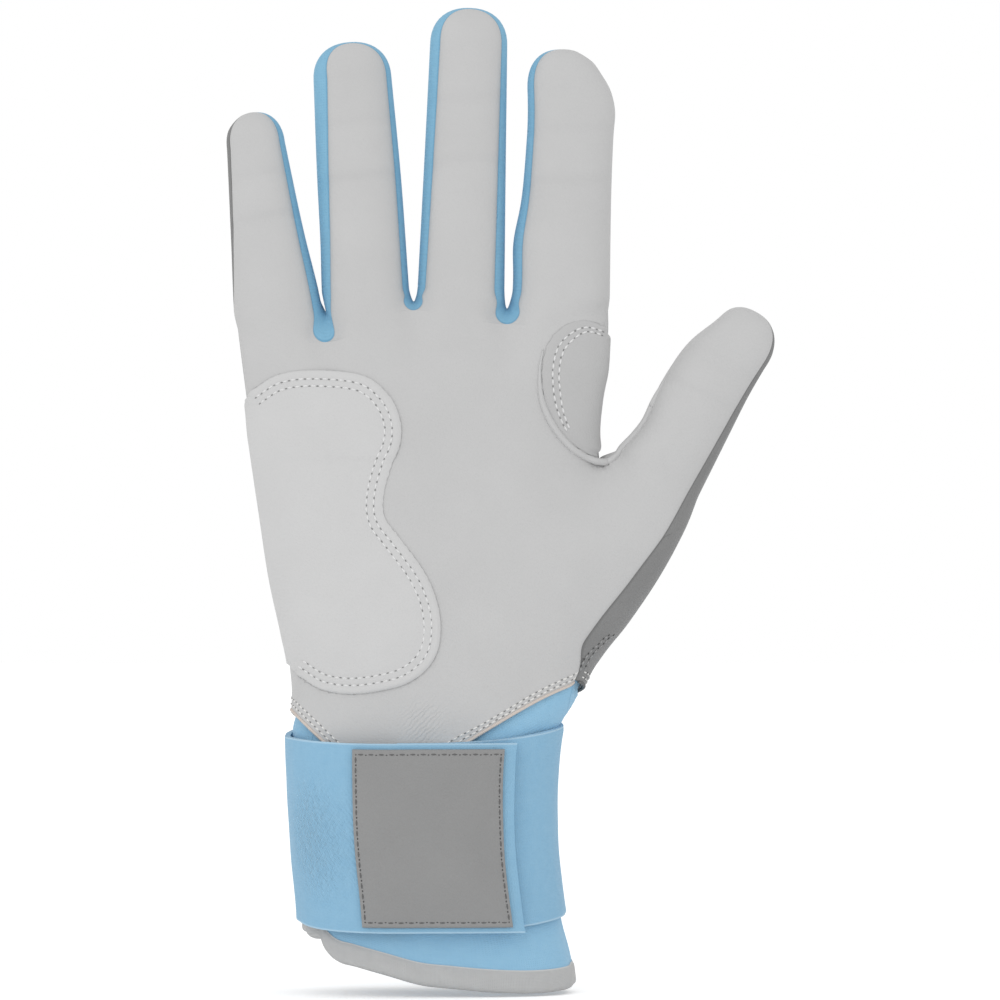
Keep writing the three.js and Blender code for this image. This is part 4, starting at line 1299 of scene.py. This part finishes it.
# Each hem's hole finish is painted shade in its needle holes.
for face, front, edge_finish, hole in (
    ("palm", True, cut_edge, pale_hole_shade),
    ("back", False, dark_cut_edge, dark_hole_shade),
):
    line = even_steps(hem_line(front, CUT_EDGE_INSET), CUT_EDGE_STEP)
    slot = f"{face}_leather"
    fix(roll(f"{face}_hem_edge", line, lambda t: CUT_EDGE, CUT_EDGE_SIDES, edge_finish), slot)
    lines = [hem_line(front, inset) for inset in HEM_ROWS]
    fix(sew(f"{face}_hem_stitching", lines, HAND_CORE, HEM_PITCH, white_thread, hole, FINE_THREAD), slot)

# The stitching at the thumb's side: two short rows of mid-grey thread beside the side seam, which hold the
# wrapped-round back leather down to the hem.
SIDE_STEP = 0.6
SIDE_STITCH = 0.6
SIDE_ROW = ((48.9, 87.2), (47.8, 86.6), (46.3, 85), (43.8, 82.8), (41.8, 79.8), (41.2, 77.4))
SIDE_ROW_APART = -1.3

side_row = course_line(SIDE_ROW, SIDE_STEP)
side_lines = [[on_palm(p.x + aside, p.z, 0) for p in side_row] for aside in (0, SIDE_ROW_APART)]
grey_thread = plain_finish("mid grey thread", grey(148), grey(168), *THREAD_FIBRE)
piece = sew(
    "thumb_side_stitching", side_lines, HAND_CORE, HEM_PITCH, grey_thread, dark_hole_shade, FINE_THREAD, SIDE_STITCH
)
fix(piece, "back_leather")

# The three tucks on the back: narrow ridges sewn into the leather, which run from below the webs towards
# the wrist and give the back its shape. A row of thread in the leather's own colour lies beside each.
TUCK_RADIUS = 0.8
TUCK_START = 9
TUCK_FEET = ((-23.5, 112), (-2, 106), (19.5, 112))
TUCK_BESIDE = 1.6
TUCK_PITCH = 2.4
TUCK_STITCH = 0.62
TUCK_STEPS = 60
TUCK_STEP = 0.8
TUCK_TAPER = 0.12
TUCK_SIDES = 10


def tuck_line(k, aside):
    """A line on the back from below a web towards the wrist, moved aside for the thread beside it."""
    top = Vector((notch_lines[k][0], 0, NOTCH_FOOT[k] - TUCK_START))
    foot = Vector((TUCK_FEET[k][0], 0, TUCK_FEET[k][1]))
    line = [top.lerp(foot, s / TUCK_STEPS) + Vector((aside, 0, 0)) for s in range(TUCK_STEPS + 1)]
    return even_steps([soften(Vector((p.x, skin_depth(p.x, p.z, False), p.z))) for p in line], TUCK_STEP)


def tuck_radius(t):
    return TUCK_RADIUS * ease(min(t, 1 - t) / TUCK_TAPER)


dark_thread = plain_finish("dark grey thread", grey(96), grey(112), *THREAD_FIBRE)
for k, place in enumerate(("little_ring", "ring_middle", "middle_index")):
    ridge = roll(f"{place}_back_tuck", tuck_line(k, 0), tuck_radius, TUCK_SIDES, back_finish)
    fix(ridge, "back_leather")
tuck_rows = [tuck_line(k, aside) for k in range(FINGERS - 1) for aside in (-TUCK_BESIDE, TUCK_BESIDE)]
piece = sew(
    "back_tuck_stitching", tuck_rows, HAND_CORE, TUCK_PITCH, dark_thread, dark_hole_shade, FINE_THREAD, TUCK_STITCH
)
fix(piece, "back_leather")

# The cuff: a long sleeve of blue knit over foam, sewn under the hems. A palm-side flap, from the slit to the
# radial seam, lies over the end of a back part that goes on round the wrist.
CUFF = 1.8
CUFF_SINK = 1.2
SINK_REACH = (6, 1.6)
SINK_SPREAD = 0.8
CUFF_UNDER_HEM = 3
UNDER_BINDING = 4
FLAP_MOUTH = (
    (-30, -3.2), (-15, -5.2), (0, -6.3), (20, -7), (58, -7.4), (88, -5.9), (106, -2.6), (121, -0.4),
    (130, 0.6), (137, 2.6), (142, 5.5), (146, 11),
)
WRAP_MOUTH = (
    (120, 18), (132, 13), (140, 8.6), (146, 7.1), (160, 6.5), (172, 7), (180, 7.8), (210, 8.8), (270, 6.2),
    (310, 0.4), (330, -3.2), (345, -5.2),
)
SLIT = 1.14
SLIT_UNDERLAP = 0.4
SLIT_SINK = 2.1
SLIT_LIFT = 0.5
SLIT_REACH = 9
SLIT_TOP = 50
SLIT_FADE = 20
SLIT_TOP_SINK = 0.4
BEHIND = -20
SEAM_TURN = 0.75
TURN_REACH = 22
TURN_FROM = 1
CUFF_TURNED = 30
CRINKLE = 0.25
CRINKLE_SIZE = (16, 16, 11)
BINDING_HEIGHT = 6.2
CUFF_CORE = Vector((0, 0, 34))
CUFF_ROWS = 44

LAMINATED_KNIT = {"stitches": 1.25, "relief": 0.35, "sheen": 0.15}

# Its third, darker colour is painted shade along each part's two ends, at the slit and at the side seam.
cuff_finish = fabric(
    "blue cuff knit", paint(146, 193, 223), paint(157, 201, 228), paint(118, 166, 198), **LAMINATED_KNIT
)


def hem_round(w):
    """The hem's angle and height round the whole wrist: the back for w below 0, the palm above."""
    return hem_at(w >= 0, abs(w))


slit_x = hand_point(hem_at(True, SLIT)[0], 0, radial_edge).x


def past_slit(angle):
    """How far a place on the palm side lies from the slit, towards the thumb."""
    return hand_point(angle, 0, radial_edge).x - slit_x if math.sin(angle) > 0 else BEHIND


def mouth_of(stations):
    """The height of a cuff part's mouth by the angle round the wrist, from stations in degrees."""
    return profile([(math.radians(turn), height) for turn, height in stations])


flap_mouth = mouth_of(FLAP_MOUTH)
wrap_mouth = mouth_of(WRAP_MOUTH)


def cuff_angle(w, below_hem):
    """The angle round the wrist: the cuff is turned, so that its thumb-side seam lies at the back."""
    share = (abs(w) - TURN_FROM) / (STEMS - TURN_FROM)
    return hem_round(w)[0] - SEAM_TURN * ease(below_hem / TURN_REACH) * ease(share)


def cuff_point(w, z, flap, out):
    """A point of the cuff: it sinks under the hem, and its two parts lie over each other at the slit."""
    hem = hem_round(w)[1]
    angle = cuff_angle(w, hem - z)
    reach = mix(*SINK_REACH, ease((abs(w) - FINGERS) / SINK_SPREAD))
    sink = CUFF_SINK * (1 - ease((hem - z) / reach))
    below = ease((SLIT_TOP - z) / SLIT_FADE)
    if flap:
        sink -= SLIT_LIFT * (1 - ease(past_slit(angle) / SLIT_REACH)) * below
    else:
        sink += SLIT_SINK * ease((past_slit(angle) + SLIT_REACH) / SLIT_REACH) * mix(SLIT_TOP_SINK, 1, below)
    point = hand_point(angle, z, radial_edge)
    crinkle = CRINKLE * noise.noise(Vector([at / size for at, size in zip(point, CRINKLE_SIZE)]))
    return drawn_in(point, sink - out - crinkle)


def lay_cuff(side, start, end, columns, flap, mouth):
    """One part of the cuff, from under the hem to inside its binding."""

    def place(u, v):
        w = mix(start, end, u)
        foot = mouth(cuff_angle(w, CUFF_TURNED)) + BINDING_HEIGHT - UNDER_BINDING
        return cuff_point(w, mix(hem_round(w)[1] + CUFF_UNDER_HEM, foot, v), flap, 0)

    grids = [(columns, CUFF_ROWS, place, OPEN_ENDS)]
    fix(lay_sheet(f"cuff_{side}_knit", grids, CUFF_CORE, CUFF, cuff_finish), "cuff_fabric", f"cuff_{side}")


# Each part is (side, first and last w, columns, whether it is the flap, its mouth).
cuff_parts = (
    ("back", -STEMS, SLIT + SLIT_UNDERLAP, 150, False, wrap_mouth),
    ("palm", SLIT, STEMS, 110, True, flap_mouth),
)
for part in cuff_parts:
    lay_cuff(*part)

# The bindings: pale grey woven tape folded over the cuff's mouth, one on the flap and one on the back part.
# Each lies on the outside of the mouth, turns round its edge and ends inside.
BINDING = 0.7
BINDING_PROUD = 0.6
BINDING_FOLD = 1.35
BINDING_ROWS = 26
OUTSIDE_END = 0.45
FOLD_END = 0.75
INSIDE_SHORTER = 1
TAPE_EDGE_SINK = 0.35
TAPE_EDGE_END = 0.1

binding_finish = fabric(
    "grey binding tape", grey(186), paint(199, 199, 198), paint(212, 212, 211),
    stitches=2.2, relief=0.5, sheen=0.1,
)


def lay_binding(side, start, end, columns, flap, mouth):
    """The tape on one part's mouth: down the outside, round the fold and up the inside."""

    def place(u, v):
        w = mix(start, end, u)
        foot = mouth(cuff_angle(w, CUFF_TURNED))
        straight = BINDING_HEIGHT - BINDING_FOLD
        middle = BINDING_PROUD - BINDING_FOLD
        if v < OUTSIDE_END:
            z = foot + BINDING_HEIGHT - straight * v / OUTSIDE_END
            out = BINDING_PROUD - TAPE_EDGE_SINK * (1 - ease(v / TAPE_EDGE_END))
        elif v < FOLD_END:
            turn = (v - OUTSIDE_END) / (FOLD_END - OUTSIDE_END) * math.pi
            z = foot + BINDING_FOLD - BINDING_FOLD * math.sin(turn)
            out = middle + BINDING_FOLD * math.cos(turn)
        else:
            z = foot + BINDING_FOLD + (straight - INSIDE_SHORTER) * (v - FOLD_END) / (1 - FOLD_END)
            out = middle - BINDING_FOLD
        return cuff_point(w, z, flap, out)

    grids = [(columns, BINDING_ROWS, place, ("foot",))]
    piece = lay_sheet(f"cuff_{side}_binding_tape", grids, CUFF_CORE, BINDING, binding_finish)
    fix(piece, "binding_tape", f"cuff_{side}_binding")


for part in cuff_parts:
    lay_binding(*part)

# The strap: a wide band of blue laminated knit, fixed round the wrist, with loop tape sewn on its front
# end. Its cut edges show the pale foam inside.
STRAP = 1.4
STRAP_HEIGHT = 50
STRAP_FLARE = 61
STRAP_MIDDLE = (36.4, 34, 38.2, 38.2)
STRAP_NARROW = 0.035
NARROW_REACH = 0.5
STRAP_WAVE = 0.22
WAVES_ROUND = 7
WAVE_HEIGHT = 13
WAVE_LAYER = 2.5
STRAP_GAP = 0.7
LAYER_GAP = 0.3
TAPE = 0.6
TAPE_HEIGHT = 44
BAND_END = -8
LOOP_SPAN = (-6.4, 19.6)
STRAP_ROWS = 36
BAND_COLUMNS = 150
TAPE_COLUMNS = 40
PALE_SIDES = ("foot", "top")
STRAP_COLOURS = (paint(137, 183, 213), paint(149, 192, 219), paint(180, 211, 231))
FOAM_FIBRE = (0.85, 1500.0)

strap_finish = fabric("blue strap knit", *STRAP_COLOURS, **LAMINATED_KNIT)
strap_edge = plain_finish("cut foam edge", paint(160, 196, 220), paint(178, 208, 228), *FOAM_FIBRE)


def wrist_point(angle, z, out):
    """A point that stands out from the cuff round the wrist."""
    left, right = ulnar_edge(z) - out, radial_edge(min(z, STRAP_FLARE)) + out
    deep = (palm_depth(z) if math.sin(angle) > 0 else back_depth(z)) + out
    x = mix(left, right, (1 + across(angle, HAND_FULLNESS)) / 2)
    return Vector((x, -deep * outward(angle, HAND_FULLNESS), z))


def strap_middle(angle):
    """The height of the strap's middle line: set at the hinge, the front, the thumb side and the back."""
    hinge, front, thumb_side, rear = STRAP_MIDDLE
    wave = ((thumb_side - hinge) * math.cos(angle) + (front - rear) * math.sin(angle)) / 2
    return sum(STRAP_MIDDLE) / 4 + wave + (hinge + thumb_side - front - rear) / 4 * math.cos(2 * angle)


def front_angle(x, out):
    """The angle round the wrist of a place on the strap's front."""
    z = STRAP_MIDDLE[1]
    left, right = ulnar_edge(z) - out, radial_edge(z) + out
    return angle_of((2 * x - left - right) / (right - left), HAND_FULLNESS)


def level_middle(angle):
    """The middle line of the layers that close over the front, which stay level there."""
    return strap_middle(max(angle, math.pi / 2))


def strap_wave(angle, z):
    """A soft unevenness that the layers of the strap share."""
    return STRAP_WAVE * noise.noise(Vector((WAVES_ROUND * angle, z / WAVE_HEIGHT, WAVE_LAYER)))


def lay_strap(name, start, end, height, columns, out_at, thickness, finish, middle_at=level_middle):
    """A strip round the wrist; out_at gives how far its inner face stands off the cuff."""

    def place(u, v):
        angle = mix(start, end, u)
        narrow = STRAP_NARROW * bell((angle - math.pi) / NARROW_REACH)
        z = middle_at(angle) + height * (1 - narrow) * (v - 0.5)
        return wrist_point(angle, z, out_at(angle) + thickness + strap_wave(angle, z))

    grids = [(columns, STRAP_ROWS, place, PALE_SIDES)]
    return lay_sheet(name, grids, CUFF_CORE, thickness, finish, strap_edge)


band_turn = 2 * math.pi + front_angle(BAND_END, STRAP_GAP)
piece = lay_strap(
    "wrist_band", math.pi, band_turn, STRAP_HEIGHT, BAND_COLUMNS, lambda a: STRAP_GAP, STRAP, strap_finish,
    strap_middle,
)
fix(piece, "strap_fabric", "strap_band")


def pile(name, dark, pale, scale, relief):
    """The face of hook or loop tape: dense small tufts."""
    material, tree, shader = new_finish(name)
    place = add_node(tree, "TexCoord", {}).outputs["Object"]
    tufts = add_node(tree, "TexVoronoi", {"Vector": place, "Scale": scale}).outputs["Distance"]
    tree.links.new(mixed(tree, tufts, pale, dark), shader["Base Color"])
    bump = {"Height": tufts, "Strength": relief, "Distance": 0.0004}
    tree.links.new(add_node(tree, "Bump", bump, invert=True).outputs[0], shader["Normal"])
    shader["Roughness"].default_value = 0.95
    shader["Sheen Weight"].default_value = 0.3
    return material


loop_finish = pile("loop tape", paint(92, 140, 176), paint(126, 172, 204), scale=1500.0, relief=0.9)
loop_out = STRAP_GAP + STRAP + LAYER_GAP
angles = [front_angle(x, loop_out) for x in LOOP_SPAN]
piece = lay_strap(
    "loop_tape", *angles, TAPE_HEIGHT, TAPE_COLUMNS, lambda a: loop_out, TAPE, loop_finish, strap_middle
)
fix(piece, "loop_tape", "strap_loop_tape")

# The tab: the strap's free end, sewn to the band at the little finger's side. It pulls across the front of
# the wrist and holds there by the hook tape under it.
TAB_END = 21.8
TAB_RISE_END = -10
HOOK_SPAN = (-3.8, 20.2)
HINGE = Vector((-38.3, 0, 35.6))
HINGE_REACH = 11
TAB_COLUMNS = 90
TAB_FOLDS = ((29, 24, 0), (0.42, 0.3, 0), 24, 0.0006)

hook_out = loop_out + TAPE + LAYER_GAP
tab_out = hook_out + TAPE + LAYER_GAP
rise_end = front_angle(TAB_RISE_END, tab_out)


def tab_out_at(angle):
    """How far the tab stands off: it climbs from the sewn edge over the tapes."""
    return mix(STRAP_GAP, tab_out, ease((math.pi - angle) / (math.pi - rise_end)))


tab_finish = fabric("blue tab knit", *STRAP_COLOURS, **LAMINATED_KNIT, folds=TAB_FOLDS)
tab_turn = front_angle(TAB_END, tab_out)
piece = lay_strap(
    "strap_pull_tab", math.pi, tab_turn, STRAP_HEIGHT, TAB_COLUMNS, tab_out_at, STRAP, tab_finish
)
hinge_end = HINGE - Vector((0, HINGE_REACH, 0))
bend(piece, "strap_fabric", ["strap_tab"], ("hand", "tab"), HINGE, hinge_end)
hook_finish = pile("hook tape", paint(84, 130, 166), paint(112, 158, 192), scale=1100.0, relief=1.0)
angles = [front_angle(x, hook_out) for x in HOOK_SPAN]
piece = lay_strap("hook_tape", *angles, TAPE_HEIGHT, TAPE_COLUMNS, lambda a: hook_out, TAPE, hook_finish)
fix(piece, "hook_tape", "strap_hook_tape", body="tab")

# The badge: a bare rectangle of mid-grey leather on the tab, with a bevelled edge and one row of dark
# stitching all round.
BADGE = 1.0
BADGE_SPAN = (-19.6, 19.4)
BADGE_HEIGHT = 47
BADGE_GAP = 0.3
BADGE_STITCH = 1.4
BADGE_PITCH = 2.8
BADGE_STITCH_SHARE = 0.62
BADGE_THREAD = 0.26
BADGE_STEPS = 60
BADGE_DENT = 0.18
BADGE_DENT_WIDTH = 0.6
BADGE_BEVEL = 0.7
BADGE_GRID = 46
BEVEL_ROWS = 6

# Its third colour is painted shadow round the badge's edges.
badge_finish = leather("mid grey leather", grey(142), grey(151), grey(124), grain=0.35)
badge_turns = [front_angle(x, tab_out + STRAP + BADGE_GAP) for x in BADGE_SPAN]
badge_wide = BADGE_SPAN[1] - BADGE_SPAN[0]


def badge_point(u, v):
    """A point of the badge's face, bevelled towards its edges and dented along its stitching."""
    angle = mix(*badge_turns, u)
    edge = min(u * badge_wide, (1 - u) * badge_wide, v * BADGE_HEIGHT, (1 - v) * BADGE_HEIGHT)
    bevel = BADGE_BEVEL * (1 - rounded(edge / BADGE_BEVEL))
    dent = BADGE_DENT * bell((edge - BADGE_STITCH) / BADGE_DENT_WIDTH)
    z = level_middle(angle) + BADGE_HEIGHT * (v - 0.5)
    face = tab_out_at(angle) + STRAP + BADGE_GAP + BADGE + strap_wave(angle, z)
    return wrist_point(angle, z, face - bevel - dent)


def close_to_ends(t, length):
    """Rows bunched towards both ends, so that a bevel of the edges shows."""
    near = BADGE_BEVEL / length
    row = t * BADGE_GRID
    if row < BEVEL_ROWS:
        return near * row / BEVEL_ROWS
    if row > BADGE_GRID - BEVEL_ROWS:
        return 1 - near * (BADGE_GRID - row) / BEVEL_ROWS
    return mix(near, 1 - near, (row - BEVEL_ROWS) / (BADGE_GRID - 2 * BEVEL_ROWS))


def badge_sheet(u, v):
    return badge_point(close_to_ends(u, badge_wide), close_to_ends(v, BADGE_HEIGHT))


grids = [(BADGE_GRID, BADGE_GRID, badge_sheet, ("left", "right", "foot", "top"))]
piece = lay_sheet("strap_badge_leather", grids, CUFF_CORE, BADGE, badge_finish)
fix(piece, "badge_leather", "strap_badge", body="tab")
u, v = BADGE_STITCH / badge_wide, BADGE_STITCH / BADGE_HEIGHT
corners = [(u, v), (1 - u, v), (1 - u, 1 - v), (u, 1 - v)]
steps = [k / BADGE_STEPS for k in range(BADGE_STEPS + 1)]
badge_lines = [
    [badge_point(mix(a[0], b[0], step), mix(a[1], b[1], step)) for step in steps]
    for a, b in zip(corners, corners[1:] + corners[:1])
]
piece = sew(
    "badge_stitching", badge_lines, CUFF_CORE, BADGE_PITCH, dark_thread, dark_hole_shade, BADGE_THREAD,
    BADGE_STITCH_SHARE,
)
fix(piece, "badge_leather", body="tab")
